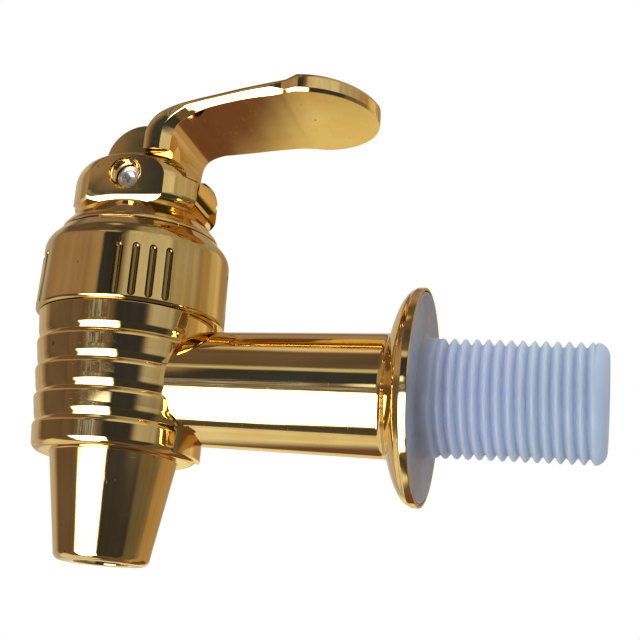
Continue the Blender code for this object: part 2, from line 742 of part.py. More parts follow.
def build_yoke(material, axis):
    """Swivelling yoke: collar below, two flat-sided ears above with the lever's slot."""
    yoke = make_object("yoke", turned(yoke_outline()), material, axis)
    reach = YOKE_R + 1.0
    top = YOKE_TOP + 1.0
    slot = box((-reach, -SLOT_HALF_WIDTH, SLOT_FLOOR), (reach, SLOT_HALF_WIDTH, top))
    combine(yoke, make_object("slot_cut", slot, None, axis))
    hole_r = STEM_R + YOKE_STEM_GAP
    stem_hole = [(0.0, YOKE_ROOF - 1.0), (hole_r, YOKE_ROOF - 1.0)]
    stem_hole += [(hole_r, SLOT_FLOOR + 1.0), (0.0, SLOT_FLOOR + 1.0)]
    combine(yoke, make_object("stem_hole_cut", turned(stem_hole), None, axis))

    trim = box((-reach, -reach, YOKE_WAIST + 0.1), (reach, -SLOT_HALF_WIDTH * 0.5, top))
    near_trim = make_object("near_ear_trim", trim, None, axis)
    form = turned(near_ear_outline())
    bmesh.ops.translate(form, vec=Vector((NEAR_EAR_REARWARD, 0.0, 0.0)), verts=form.verts)
    combine(near_trim, make_object("near_ear_form", form, None, axis))
    combine(yoke, near_trim)

    relief = extruded(ledge_outline(), -LEDGE_HALF_WIDTH, 0.0, "Y")
    bmesh.ops.translate(relief, vec=PIVOT, verts=relief.verts)
    combine(yoke, make_object("ledge_cut", relief, None, axis))

    for side, name in ((-1.0, "near"), (1.0, "far")):
        chamfer = EAR_FLAT_CHAMFER
        face = EAR_FLAT * side
        outside = (EAR_FLAT + 4.0) * side
        cut = [
            (face - chamfer * side, YOKE_WAIST - 0.01),
            (face, YOKE_WAIST + chamfer),
            (face, top),
            (outside, top),
            (outside, YOKE_WAIST - 0.01),
        ]
        combine(yoke, make_object(name + "_flat_cut", extruded(cut, -reach, reach, "X"), None, axis))

    hole_r = SCREW_R + RUNNING_GAP
    hole = cylinder_along_y(hole_r, -EAR_FLAT - 1.0, EAR_FLAT + 1.0, (0.0, PIVOT_HEIGHT))
    combine(yoke, make_object("screw_hole_cut", hole, None, axis))
    head_room = cylinder_along_y(
        COUNTERBORE_R, -EAR_FLAT - 1.0, -COUNTERBORE_FLOOR, (0.0, PIVOT_HEIGHT))
    combine(yoke, make_object("counterbore_cut", head_room, None, axis))
    pocket = extruded(hexagon(NUT_FLATS + CLOSE_GAP), NUT_POCKET_FLOOR, EAR_FLAT + 1.0, "Y")
    bmesh.ops.translate(pocket, vec=PIVOT, verts=pocket.verts)
    combine(yoke, make_object("nut_pocket_cut", pocket, None, axis))
    return yoke


def build_snap_ring(material, axis):
    """Open ring sprung into the bonnet's groove that keeps the yoke from lifting off."""
    top = SNAP_RING_BOTTOM + SNAP_RING_THICKNESS
    shape = open_ring(SNAP_RING_INNER_R, SNAP_RING_OUTER_R, SNAP_RING_BOTTOM, top,
                      SNAP_RING_OPENING_DEG, 36)
    return make_object("swivel_snap_ring", shape, material, axis)


def build_pivot_screw(material, lever_axis):
    """Socket-head screw through both ears."""
    head_seat = -COUNTERBORE_FLOOR - CLOSE_GAP
    head_face = head_seat - SCREW_HEAD_HEIGHT
    bevel = 0.25
    profile = [
        (0.0, -head_face),
        (SCREW_HEAD_R - bevel, -head_face),
        (SCREW_HEAD_R, -head_face - bevel),
        (SCREW_HEAD_R, -head_seat),
        (SCREW_R, -head_seat),
        (SCREW_R, -head_seat - SCREW_LENGTH + bevel),
        (SCREW_R - bevel, -head_seat - SCREW_LENGTH),
        (0.0, -head_seat - SCREW_LENGTH),
    ]
    shape = turned(profile, SMALL_ROUND)
    upright = Matrix.Rotation(math.radians(90.0), 4, "X")
    bmesh.ops.transform(shape, matrix=upright, verts=shape.verts)
    screw = make_object("pivot_screw", shape, material, lever_axis)
    socket = extruded(
        hexagon(SCREW_SOCKET_FLATS), head_face - 0.5, head_face + SCREW_SOCKET_DEPTH, "Y")
    combine(screw, make_object("socket_cut", socket, None, lever_axis))
    return screw


def build_pivot_nut(material, lever_axis):
    """Hexagon nut in the far ear's pocket."""
    low = NUT_POCKET_FLOOR + CLOSE_GAP
    nut = extruded(hexagon(NUT_FLATS), low, low + NUT_THICKNESS, "Y")
    thing = make_object("pivot_nut", nut, material, lever_axis)
    hole = cylinder_along_y(SCREW_R + 0.15, low - 1.0, low + NUT_THICKNESS + 1.0)
    combine(thing, make_object("nut_hole_cut", hole, None, lever_axis))
    return thing


def build_pivot_sleeve(material, lever_axis):
    """Plain tube clamped between the ears, on which the lever turns."""
    half = SLOT_HALF_WIDTH - 0.15
    shape = ring_washer(SCREW_R + CLOSE_GAP, SLEEVE_R, -half, half, SMALL_ROUND)
    upright = Matrix.Rotation(math.radians(90.0), 4, "X")
    bmesh.ops.transform(shape, matrix=upright, verts=shape.verts)
    return make_object("pivot_sleeve", shape, material, lever_axis)


def lever_path():
    """Paired top and underside points of the handle in side view, from the neck to the pad."""
    # Each pair is a share of the pad's reach and height, upper point first
    shares = [
        ((0.077, 0.375), (0.237, 0.354)),
        ((0.081, 0.491), (0.242, 0.448)),
        ((0.106, 0.588), (0.256, 0.534)),
        ((0.158, 0.679), (0.292, 0.603)),
        ((0.258, 0.751), (0.354, 0.657)),
        ((0.383, 0.798), (0.429, 0.693)),
        ((0.525, 0.838), (0.542, 0.729)),
        ((0.667, 0.881), (0.675, 0.765)),
        ((0.808, 0.921), (0.808, 0.791)),
        ((0.933, 0.960), (0.933, 0.806)),
    ]
    tops = [Vector((NECK_FRONT, NECK_BASE))]
    unders = [Vector((NECK_REAR, NECK_BASE))]
    for top, under in shares:
        tops.append(Vector((top[0] * PAD_CENTRE, top[1] * PAD_TOP)))
        unders.append(Vector((under[0] * PAD_CENTRE, under[1] * PAD_TOP)))
    return list(zip(smooth_through(tops, 2), smooth_through(unders, 2)))


def handle_section(top, under, half_width, chamfer):
    """Cross-section of the handle with eased upper edges and chamfered lower ones."""
    thickness = (top - under).length
    down = (under - top) / thickness
    edge = min(LEVER_TOP_EDGE, half_width * 0.3, thickness * 0.3)
    chamfer = min(chamfer, half_width * 0.4, thickness * 0.5)
    steps = (
        (half_width - edge, 0.0),
        (half_width, edge),
        (half_width, thickness - chamfer),
        (half_width - chamfer, thickness),
    )
    right = [(top + down * depth, across) for across, depth in steps]
    left = [(top + down * depth, -across) for across, depth in reversed(steps)]
    return [Vector((point.x, across, point.y)) for point, across in right + left]


def handle_shape():
    """Neck, blade and round pad lofted through their cross-sections."""
    sections = []
    for top, under in lever_path():
        share = max(0.0, min(1.0, (top.x - NECK_FRONT) / (PAD_CENTRE - NECK_FRONT)))
        widening = math.sin(share * math.pi / 2.0) ** 1.2
        half = LEVER_HALF_WIDTH_NECK
        half += (LEVER_HALF_WIDTH_BLADE - LEVER_HALF_WIDTH_NECK) * widening
        sections.append(handle_section(top, under, half, LEVER_CHAMFER))
    for angle_deg in (0.0, 14.0, 28.0, 42.0, 54.0, 65.0, 74.0, 82.0, 87.5):
        angle = math.radians(angle_deg)
        along = PAD_CENTRE + PAD_LENGTH * math.sin(angle)
        half = LEVER_HALF_WIDTH_PAD * math.cos(angle)
        fall = PAD_TOP_FALL * math.sin(angle) ** 2
        top = Vector((along, PAD_TOP - fall))
        under = Vector((along, PAD_UNDERSIDE))
        sections.append(handle_section(top, under, half, LEVER_TOP_EDGE))
    shape = bmesh.new()
    rings = [[shape.verts.new(point) for point in section] for section in sections]
    for first, second in zip(rings, rings[1:]):
        for index in range(len(first)):
            after = (index + 1) % len(first)
            shape.faces.new((first[index], first[after], second[after], second[index]))
    shape.faces.new(rings[0])
    shape.faces.new(reversed(rings[-1]))
    return shape


def hub_outline():
    """Side view of the hub: round boss at the pivot under a larger crown."""
    boss = arc((0.0, 0.0), HUB_BOSS_R, 0.0, 360.0, 32)
    crown = arc((HUB_CROWN_REARWARD, HUB_CROWN_UP), HUB_CROWN_R, 0.0, 360.0, 48)
    return hull_outline(boss + crown)


def heel_outline():
    """Side view of the heel whose near side rests on the yoke's stop ledge."""
    bottom = LEDGE_ABOVE_PIVOT + FIT_GAP
    start = math.degrees(math.asin(bottom / HEEL_INNER_R))
    outline = arc((0.0, 0.0), HEEL_INNER_R, start, 66.0, 6)
    outline += [(NECK_FRONT, NECK_BASE + 1.0), (HEEL_REAR - 0.1, NECK_BASE + 1.0)]
    outline += [(HEEL_REAR, bottom)]
    return outline


def stem_head_outline(lift=0.0, margin=0.0):
    """Side view of the stem's eye: wide round the pivot, narrow round the cross pin."""
    wide = arc((0.0, lift), STEM_R + margin, 0.0, 180.0, 12)
    narrow = arc((0.0, lift + PIN_START_R), PIN_R + EYE_WALL + margin, 0.0, 180.0, 8)
    return wide + narrow


def turned_points(points, angle_deg):
    """Flat points turned about the pivot."""
    angle = math.radians(angle_deg)
    cos, sin = math.cos(angle), math.sin(angle)
    return [(x * cos - z * sin, x * sin + z * cos) for x, z in points]


def track_place(angle_deg):
    """Where the cross pin stands in the lever, and which way it moves on from there."""
    radius = PIN_START_R + LIFT_PER_DEGREE * angle_deg
    heading = math.radians(90.0 - angle_deg)
    outward = Vector((math.cos(heading), math.sin(heading)))
    onward = Vector((math.sin(heading), -math.cos(heading)))
    lift_per_radian = math.degrees(LIFT_PER_DEGREE)
    return outward * radius, (outward * lift_per_radian + onward * radius).normalized()


def track_outline(half_width):
    """Round-ended spiral slot in which the cross pin moves as the lever turns."""
    inner = []
    outer = []
    for step in range(11):
        place, onward = track_place(LEVER_RANGE_DEG * step / 10.0)
        across = Vector((-onward.y, onward.x)) * half_width
        outer.append(tuple(place + across))
        inner.append(tuple(place - across))

    def round_end(angle_deg, turn_deg):
        place, onward = track_place(angle_deg)
        first = math.degrees(math.atan2(onward.y, onward.x)) + turn_deg
        return arc(tuple(place), half_width, first, first + 180.0, 6)[1:-1]

    return inner + round_end(LEVER_RANGE_DEG, -90.0) + outer[::-1] + round_end(0.0, 90.0)


def build_lever(material, lever_axis):
    """Lift lever: hub between the ears, heel on the ledge, handle over the shank."""
    lever = make_object("lever", handle_shape(), material, lever_axis, 40.0)
    hub = extruded(hub_outline(), -HUB_HALF_WIDTH, HUB_HALF_WIDTH, "Y")
    combine(lever, make_object("hub", hub, None, lever_axis), "UNION")
    heel = extruded(heel_outline(), -HEEL_HALF_WIDTH, HUB_HALF_WIDTH - 0.02, "Y")
    combine(lever, make_object("heel", heel, None, lever_axis), "UNION")

    hole_r = SLEEVE_R + RUNNING_GAP
    hole = cylinder_along_y(hole_r, -HUB_HALF_WIDTH - 1.0, HUB_HALF_WIDTH + 1.0)
    combine(lever, make_object("hub_bore_cut", hole, None, lever_axis))

    room = BLADE_HALF_THICKNESS + FIT_GAP
    boss_room = cylinder_along_y(HUB_BOSS_R + EYE_ROOM_MARGIN, -room, room)
    combine(lever, make_object("eye_room_cut", boss_room, None, lever_axis))
    swept = []
    for step in range(-1, 10):
        angle = LEVER_RANGE_DEG * step / 8.0
        head = stem_head_outline(LIFT_PER_DEGREE * angle, FIT_GAP)
        swept += turned_points(head, -angle)
    eye_sweep = extruded(hull_outline(swept), -room, room, "Y")
    combine(lever, make_object("eye_sweep_cut", eye_sweep, None, lever_axis))

    outline = track_outline(PIN_R + FIT_GAP)
    track = extruded(outline, -TRACK_HALF_DEPTH, TRACK_HALF_DEPTH, "Y")
    combine(lever, make_object("pin_track_cut", track, None, lever_axis))
    return lever


def build_stem(material, stem_axis):
    """Turned stem: knob for the plug, clip groove, and a flat eye round the pivot."""
    eye_top = PIVOT_HEIGHT + PIN_START_R + PIN_R + EYE_WALL
    clip_low, clip_high = clip_groove()
    knob_top = STEM_KNOB_TOP
    knob_bottom = STEM_KNOB_BOTTOM
    outline = [
        (0.0, knob_bottom),
        (PLUG_STEM_KNOB_R - 0.6, knob_bottom),
        (PLUG_STEM_KNOB_R, knob_bottom + 0.6),
        (PLUG_STEM_KNOB_R, knob_top - 0.3),
        (PLUG_STEM_NECK_R, knob_top),
        (PLUG_STEM_NECK_R, PLUG_TOP + 0.4),
        (STEM_R, PLUG_TOP + 0.6),
        (STEM_R, clip_low),
        (CLIP_GROOVE_R, clip_low),
        (CLIP_GROOVE_R, clip_high),
        (STEM_R, clip_high),
        (STEM_R, eye_top + 1.0),
        (0.0, eye_top + 1.0),
    ]
    stem = make_object("stem", turned(outline, 32), material, stem_axis)
    reach = STEM_R + 1.0
    for side in (-1.0, 1.0):
        faces = sorted((side * BLADE_HALF_THICKNESS, side * (STEM_R + 1.0)))
        flat = box((-reach, faces[0], STEM_FLATS_FROM), (reach, faces[1], eye_top + 2.0))
        name = "blade_flat_cut_near" if side < 0 else "blade_flat_cut_far"
        combine(stem, make_object(name, flat, None, stem_axis))

    eye = stem_head_outline()
    crown = [(x, z + PIVOT_HEIGHT) for x, z in hull_outline(eye)]
    keep = crown + [(-reach, PIVOT_HEIGHT), (-reach, -8.0), (reach, -8.0), (reach, PIVOT_HEIGHT)]
    body = extruded(hull_outline(keep), -reach, reach, "Y")
    combine(stem, make_object("eye_shape", body, None, stem_axis), "INTERSECT")

    slot_r = SLEEVE_R + RUNNING_GAP
    slot = arc((0.0, PIVOT_HEIGHT), slot_r, 0.0, 180.0, 10)
    slot += arc((0.0, PIVOT_HEIGHT - STEM_LIFT - 0.1), slot_r, 180.0, 360.0, 10)
    combine(stem, make_object("eye_slot_cut", extruded(slot, -reach, reach, "Y"), None, stem_axis))
    pin_place = (0.0, PIVOT_HEIGHT + PIN_START_R)
    pin_hole = cylinder_along_y(PIN_R + PRESS_GAP, -reach, reach, pin_place)
    combine(stem, make_object("pin_hole_cut", pin_hole, None, stem_axis))
    return stem


def build_lift_pin(material, stem_axis):
    """Cross pin pressed through the stem's eye, riding in the lever's tracks."""
    centre = (0.0, PIVOT_HEIGHT + PIN_START_R)
    shape = cylinder_along_y(PIN_R, -PIN_HALF_LENGTH, PIN_HALF_LENGTH, centre)
    return make_object("lift_pin", shape, material, stem_axis)


def spring_washer_levels():
    """Bottom and top of the washer that carries the spring's lower end."""
    top = SPRING_BOTTOM - FIT_GAP
    return top - SPRING_WASHER_THICKNESS, top


def clip_levels():
    """Bottom and top of the retaining clip under the washer."""
    top = spring_washer_levels()[0] - FIT_GAP
    return top - CLIP_THICKNESS, top


def clip_groove():
    """Bottom and top of the stem's groove for the clip."""
    low, high = clip_levels()
    return low - 0.1, high + 0.1


def build_spring_washer(material, stem_axis):
    """Washer under the spring, resting on the retaining clip."""
    low, high = spring_washer_levels()
    shape = ring_washer(STEM_R + CLOSE_GAP, SPRING_WASHER_R, low, high, 32)
    return make_object("spring_washer", shape, material, stem_axis)


def build_retaining_clip(material, stem_axis):
    """Open clip in the stem's groove."""
    low, high = clip_levels()
    inner = CLIP_GROOVE_R + CLOSE_GAP
    shape = open_ring(inner, CLIP_R, low, high, CLIP_OPENING_DEG, 20)
    return make_object("retaining_clip", shape, material, stem_axis)


def build_spring(material, stem_axis):
    """Compression spring round the stem, as a swept round wire."""
    low = SPRING_BOTTOM + SPRING_WIRE_R
    high = gland_bottom() - FIT_GAP - SPRING_WIRE_R
    steps = int(SPRING_TURNS * 14)
    sides = 6
    shape = bmesh.new()
    rings = []
    for step in range(steps + 1):
        share = step / steps
        angle = math.tau * SPRING_TURNS * share
        outward = Vector((math.cos(angle), math.sin(angle), 0.0))
        centre = outward * SPRING_MEAN_R + Vector((0.0, 0.0, low + (high - low) * coil_rise(share)))
        ring = []
        for side in range(sides):
            around = math.tau * side / sides
            offset = outward * math.cos(around) + Vector((0.0, 0.0, math.sin(around)))
            ring.append(shape.verts.new(centre + offset * SPRING_WIRE_R))
        rings.append(ring)
    for first, second in zip(rings, rings[1:]):
        for side in range(sides):
            after = (side + 1) % sides
            shape.faces.new((first[side], first[after], second[after], second[side]))
    shape.faces.new(rings[0])
    shape.faces.new(reversed(rings[-1]))
    return make_object("spring", shape, material, stem_axis)


def coil_rise(share):
    """Height share along the spring: its end turns lie closer than the working ones."""
    end_turn = 1.0 / SPRING_TURNS
    end_pitch = SPRING_WIRE_R * 2.0 * 1.12
    total = gland_bottom() - FIT_GAP - SPRING_BOTTOM - 2.0 * SPRING_WIRE_R
    end_rise = end_pitch / total
    if share < end_turn:
        return end_rise * share / end_turn
    if share > 1.0 - end_turn:
        return 1.0 - end_rise * (1.0 - share) / end_turn
    middle = (share - end_turn) / (1.0 - 2.0 * end_turn)
    return end_rise + (1.0 - 2.0 * end_rise) * middle


def build_seat_plug(material, stem_axis):
    """Soft plug snapped over the stem's knob, closing on the seat lip."""
    lip_top = CHAMBER_FLOOR + SEAT_LIP_HEIGHT
    bottom = lip_top + FIT_GAP
    grip = CLOSE_GAP
    outline = [
        (0.0, bottom - PLUG_NOSE_LENGTH),
        (PLUG_NOSE_R - 0.7, bottom - PLUG_NOSE_LENGTH),
        (PLUG_NOSE_R, bottom - PLUG_NOSE_LENGTH + 0.7),
        (PLUG_NOSE_R, bottom),
        (PLUG_R - 0.4, bottom),
        (PLUG_R, bottom + 0.4),
        (PLUG_R, PLUG_RIM_TOP - 0.3),
        (PLUG_R - 0.3, PLUG_RIM_TOP),
        (PLUG_WAIST_R, PLUG_RIM_TOP + 0.8),
        (PLUG_COLLAR_R, PLUG_TOP - 0.4),
        (PLUG_COLLAR_R - 0.4, PLUG_TOP),
        (PLUG_STEM_NECK_R + grip, PLUG_TOP),
        (PLUG_STEM_NECK_R + grip, STEM_KNOB_TOP + 0.1),
        (PLUG_STEM_KNOB_R + grip, STEM_KNOB_TOP - 0.1),
        (PLUG_STEM_KNOB_R + grip, STEM_KNOB_BOTTOM + 0.5),
        (PLUG_STEM_KNOB_R - 0.5, STEM_KNOB_BOTTOM - grip),
        (0.0, STEM_KNOB_BOTTOM - grip),
    ]
    return make_object("seat_plug", turned(outline, 32), material, stem_axis)


def build_spigot():
    """Make every piece, the moving ones under the empties of their joint axes."""
    gold = make_material("gold plate", (0.83, 0.60, 0.26), 1.0, 0.08)
    milky = make_material("milky plastic", (0.62, 0.69, 0.84), 0.0, 0.35)
    steel = make_material("stainless steel", (0.62, 0.61, 0.60), 1.0, 0.25)
    brass = make_material("brass", (0.78, 0.62, 0.32), 1.0, 0.3)
    white = make_material("white plastic", (0.85, 0.85, 0.83), 0.0, 0.4)
    silicone = make_material("silicone", (0.80, 0.80, 0.78), 0.0, 0.6)
    rubber = make_material("black rubber", (0.03, 0.03, 0.03), 0.0, 0.7)

    barrel = make_empty("barrel_axis", Vector((-BARREL_REACH, 0.0, 0.0)))
    yoke_axis = make_empty("yoke_axis", Vector((-BARREL_REACH, 0.0, 0.0)))
    lever_axis = make_empty("lever_axis", PIVOT, yoke_axis)
    pivot_axis = make_empty("pivot_axis", PIVOT, yoke_axis)
    stem_axis = make_empty("stem_axis", Vector((0.0, 0.0, 0.0)), yoke_axis)

    build_body(gold)
    build_threaded_inlet(milky)
    build_tail_seal(rubber)
    build_bonnet(gold, barrel)
    build_bonnet_gasket(silicone, barrel)
    build_stem_seal(rubber, barrel)
    build_gland_washer(white, barrel)
    build_yoke(gold, yoke_axis)
    build_snap_ring(steel, yoke_axis)
    build_pivot_screw(steel, pivot_axis)
    build_pivot_nut(steel, pivot_axis)
    build_pivot_sleeve(brass, pivot_axis)
    build_lever(gold, lever_axis)
    build_stem(steel, stem_axis)
    build_lift_pin(steel, stem_axis)
    build_spring(steel, stem_axis)
    build_spring_washer(white, stem_axis)
    build_retaining_clip(steel, stem_axis)
    build_seat_plug(silicone, stem_axis)


clear_scene()
build_spigot()
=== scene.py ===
"""Dressed look of a gold-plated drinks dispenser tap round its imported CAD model.

Sizes are in millimetres in the CAD frame: the origin is the centre of the flange's rear face,
+X runs along the shank into the dispenser and +Z is up. MM turns them into metres.
"""
import math

import bmesh
import bpy
from bpy.props import FloatProperty, FloatVectorProperty, PointerProperty
from mathutils import Matrix, Vector


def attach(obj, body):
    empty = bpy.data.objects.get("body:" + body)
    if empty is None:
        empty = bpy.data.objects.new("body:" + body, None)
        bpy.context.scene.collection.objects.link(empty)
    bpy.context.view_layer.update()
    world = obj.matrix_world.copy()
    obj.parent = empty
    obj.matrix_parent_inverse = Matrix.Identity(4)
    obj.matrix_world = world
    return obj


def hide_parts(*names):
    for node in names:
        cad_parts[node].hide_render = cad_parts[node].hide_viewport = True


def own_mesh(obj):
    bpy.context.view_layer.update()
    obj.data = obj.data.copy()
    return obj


bl_info = {
    "name": "Drinks dispenser tap",
    "version": (1, 0, 0),
    "blender": (4, 5, 0),
    "location": "3D View > Sidebar > Tap",
    "description": "Builds the plated pieces, the threaded tail and the studio of a dispenser tap",
    "category": "Object",
}

MM = 0.001
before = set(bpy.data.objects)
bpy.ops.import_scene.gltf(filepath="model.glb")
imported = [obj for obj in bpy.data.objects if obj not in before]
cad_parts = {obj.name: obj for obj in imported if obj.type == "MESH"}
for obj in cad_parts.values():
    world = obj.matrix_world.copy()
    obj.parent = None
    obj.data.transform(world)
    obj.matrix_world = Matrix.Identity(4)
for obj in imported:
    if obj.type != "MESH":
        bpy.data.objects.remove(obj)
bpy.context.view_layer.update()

# Shared fits
FIT_GAP = 0.3
CLOSE_GAP = 0.2
SEAM = 0.08
FINE = 160
EDGE = 0.12

# Places on the tap
BARREL_REACH = 43.0
PIVOT_HEIGHT = 28.7
BARREL_TOP = 9.2
NECK_R = 11.3
NECK_TOP = 16.5
CHAMBER_R = 9.4
SHANK_BORE_R = 5.0
LINER_R = 6.4
LINER_LENGTH = 13.0
DISC_THICKNESS = 0.8
DISC_R = 14.1
THREAD_R = 8.0
STEM_R = 3.0
GRIP_CENTRE_DEG = -64.8
GRIP_PITCH_DEG = 10.0
GRIP_LOW = 9.75
GRIP_HIGH = 17.3
SWIVEL_NECK_R = 7.9
BONNET_LAND = 21.5
SNAP_RING_LOW = 22.45
SNAP_RING_HIGH = 23.15
HUB_BOSS_R = 3.5
SLEEVE_R = 1.6
PIN_START_R = 3.1
PIN_R = 0.8
LEVER_RANGE_DEG = 40.0
STEM_LIFT = 2.4
SPRING_BOTTOM = 4.2
SPRING_TOP = 13.5
BLADE_HALF_THICKNESS = 1.7
SLOT_FLOOR = PIVOT_HEIGHT - HUB_BOSS_R - FIT_GAP
PIVOT = Vector((-BARREL_REACH, 0.0, PIVOT_HEIGHT))


def size(name, default):
    """Length in millimetres that the sidebar shows under its own name."""
    return FloatProperty(
        name=name, description=name + " in mm", default=default, min=0.01, precision=2)


def shade(name, text, default):
    """Colour that the sidebar shows as a swatch."""
    return FloatVectorProperty(
        name=name, description=text, default=default, min=0.0, max=1.0, subtype="COLOR")


class TapBodySizes(bpy.types.PropertyGroup):
    """Sizes of the barrel, nozzle, shank and flange."""
    barrel_r_top: size("Radius of the barrel's top band", 12.8)
    barrel_r_bottom: size("Radius of the barrel's lowest band", 11.5)
    rib_pitch: size("Distance between the barrel's grooves", 3.9)
    rib_groove_depth: size("Depth of the barrel's grooves", 0.4)
    nozzle_r_tip: size("Outer radius of the nozzle's tip", 6.6)
    flange_rim_r: size("Radius of the flange's rim", 14.68)


class TapTopSizes(bpy.types.PropertyGroup):
    """Sizes of the bonnet, yoke and lever."""
    bonnet_r: size("Radius of the bonnet's skirt", 13.4)
    grip_width: size("Width of the bonnet's flutes", 1.1)
    yoke_r: size("Radius of the yoke", 10.6)
    lever_half_width: size("Half width of the lever's blade", 10.3)
    pad_half_width: size("Half width of the thumb pad", 10.8)
    thread_pitch: size("Pitch of the tail's thread", 1.5)


class TapFinish(bpy.types.PropertyGroup):
    """Colours and gloss of the tap's finishes."""
    gold: shade("Gold", "Colour of the plating", (0.90, 0.67, 0.30))
    milky: shade("Milky plastic", "Colour of the tail's plastic", (0.47, 0.54, 0.72))
    gold_roughness: FloatProperty(
        name="Gold roughness", description="Roughness of the plating where it is clean",
        default=0.035, min=0.0, max=1.0, subtype="FACTOR")


class TapStudio(bpy.types.PropertyGroup):
    """Floor and backdrop."""
    floor_drop: FloatProperty(
        name="Floor drop", description="How far the floor lies below the tap's axis",
        default=0.16, min=0.03, subtype="DISTANCE", unit="LENGTH")
    backdrop: shade("Backdrop", "Colour that the camera sees behind the tap", (1.0, 1.0, 1.0))


# Shape helpers, all in millimetres

def held(share):
    """Share kept between 0 and 1."""
    return min(1.0, max(0.0, share))


def arc(centre, radius, start_deg, end_deg, steps):
    """Points on an arc, both ends included."""
    points = []
    for step in range(steps + 1):
        angle = math.radians(start_deg + (end_deg - start_deg) * step / steps)
        points.append((centre[0] + radius * math.cos(angle),
                       centre[1] + radius * math.sin(angle)))
    return points


def eased(outline, steps=3):
    """Closed outline with each corner (a, b, radius) rounded by its own radius."""
    result = []
    count = len(outline)
    for index, corner in enumerate(outline):
        here = Vector(corner[:2])
        radius = corner[2] if len(corner) > 2 else 0.0
        if radius <= 0.0:
            result.append((here.x, here.y))
            continue
        before = Vector(outline[index - 1][:2]) - here
        after = Vector(outline[(index + 1) % count][:2]) - here
        reach = min(radius, before.length * 0.45, after.length * 0.45)
        start = here + before.normalized() * reach
        end = here + after.normalized() * reach
        for step in range(steps + 1):
            t = step / steps
            point = start * (1 - t) ** 2 + here * 2 * t * (1 - t) + end * t * t
            result.append((point.x, point.y))
    return result


def turned(profile, segments=FINE, wave=None):
    """Solid of revolution about Z. wave(radius, height, angle) may change the radius."""
    shape = bmesh.new()
    rings = []
    for step in range(segments):
        angle = math.tau * step / segments
        ring = []
        for radius, height in profile:
            reach = radius if wave is None else wave(radius, height, angle)
            if radius < 1e-6 and step:
                ring.append(rings[0][len(ring)])
            else:
                ring.append(shape.verts.new(
                    (reach * math.cos(angle), reach * math.sin(angle), height)))
        rings.append(ring)
    count = len(profile)
    for step in range(segments):
        here, there = rings[step], rings[(step + 1) % segments]
        for index in range(count):
            after = (index + 1) % count
            corners = []
            for vert in (here[index], there[index], there[after], here[after]):
                if vert not in corners:
                    corners.append(vert)
            if len(corners) > 2:
                shape.faces.new(corners)
    bmesh.ops.recalc_face_normals(shape, faces=shape.faces)
    return shape


def placed(shape, matrix):
    """The same shape moved or turned."""
    bmesh.ops.transform(shape, matrix=matrix, verts=shape.verts)
    return shape


def at_barrel(shape):
    """Moves a shape from its own axis to the barrel's."""
    return placed(shape, Matrix.Translation((-BARREL_REACH, 0.0, 0.0)))


def at_pivot(shape):
    """Moves a shape from its own centre to the lever's pivot."""
    return placed(shape, Matrix.Translation(PIVOT))


def along_x(shape):
    """Lays a turned shape on the shank's axis, its height becoming X."""
    return placed(shape, Matrix.Rotation(math.radians(90.0), 4, "Y"))


def lofted(sections):
    """Closed skin through rings with equally many points, capped at both ends."""
    shape = bmesh.new()
    rings = [[shape.verts.new(point) for point in section] for section in sections]
    for first, second in zip(rings, rings[1:]):
        for index in range(len(first)):
            after = (index + 1) % len(first)
            shape.faces.new((first[index], first[after], second[after], second[index]))
    shape.faces.new(rings[0])
    shape.faces.new(rings[-1][::-1])
    bmesh.ops.recalc_face_normals(shape, faces=shape.faces)
    return shape


def extruded(outline, low, high, axis):
    """Closed prism: a flat outline pushed along one axis from low to high."""
    places = {
        "X": lambda a, b, c: Vector((c, a, b)),
        "Y": lambda a, b, c: Vector((a, c, b)),
        "Z": lambda a, b, c: Vector((a, b, c)),
    }
    return lofted([[places[axis](a, b, level) for a, b in outline] for level in (low, high)])


def box(low, high):
    """Rectangular block between two corners."""
    outline = [(low[0], low[1]), (high[0], low[1]), (high[0], high[1]), (low[0], high[1])]
    return extruded(outline, low[2], high[2], "Z")


def rod_along_y(radius, low, high, segments=64):
    """Round rod along Y round the origin."""
    return extruded(arc((0.0, 0.0), radius, 0.0, 360.0, segments)[:-1], low, high, "Y")


def hull_outline(points):
    """Convex outline round a set of flat points, counter-clockwise."""
    ordered = sorted(set((round(a, 6), round(b, 6)) for a, b in points))

    def turn(first, second, third):
        first_step = (second[0] - first[0]) * (third[1] - first[1])
        second_step = (second[1] - first[1]) * (third[0] - first[0])
        return first_step - second_step

    def half(chain):
        kept = []
        for point in chain:
            while len(kept) > 1 and turn(kept[-2], kept[-1], point) <= 1e-7:
                kept.pop()
            kept.append(point)
        return kept[:-1]

    return half(ordered) + half(reversed(ordered))


def smooth_through(points, steps):
    """Catmull-Rom curve through the points, with a few steps in each span."""
    padded = [points[0] * 2.0 - points[1]] + points + [points[-1] * 2.0 - points[-2]]
    curve = []
    for index in range(1, len(padded) - 2):
        p0, p1, p2, p3 = padded[index - 1:index + 3]
        for step in range(steps):
            t = step / steps
            curve.append(0.5 * (
                2.0 * p1
                + (p2 - p0) * t
                + (2.0 * p0 - 5.0 * p1 + 4.0 * p2 - p3) * t * t
                + (3.0 * p1 - p0 - 3.0 * p2 + p3) * t * t * t
            ))
    curve.append(points[-1])
    return curve


def make_piece(name, shape):
    """Turns a shape in millimetres into an object in metres."""
    bmesh.ops.scale(shape, vec=(MM, MM, MM), verts=shape.verts)
    bmesh.ops.remove_doubles(shape, verts=shape.verts, dist=1e-8)
    bmesh.ops.recalc_face_normals(shape, faces=shape.faces)
    mesh = bpy.data.meshes.new(name)
    shape.to_mesh(mesh)
    shape.free()
    piece = bpy.data.objects.new(name, mesh)
    bpy.context.scene.collection.objects.link(piece)
    return piece


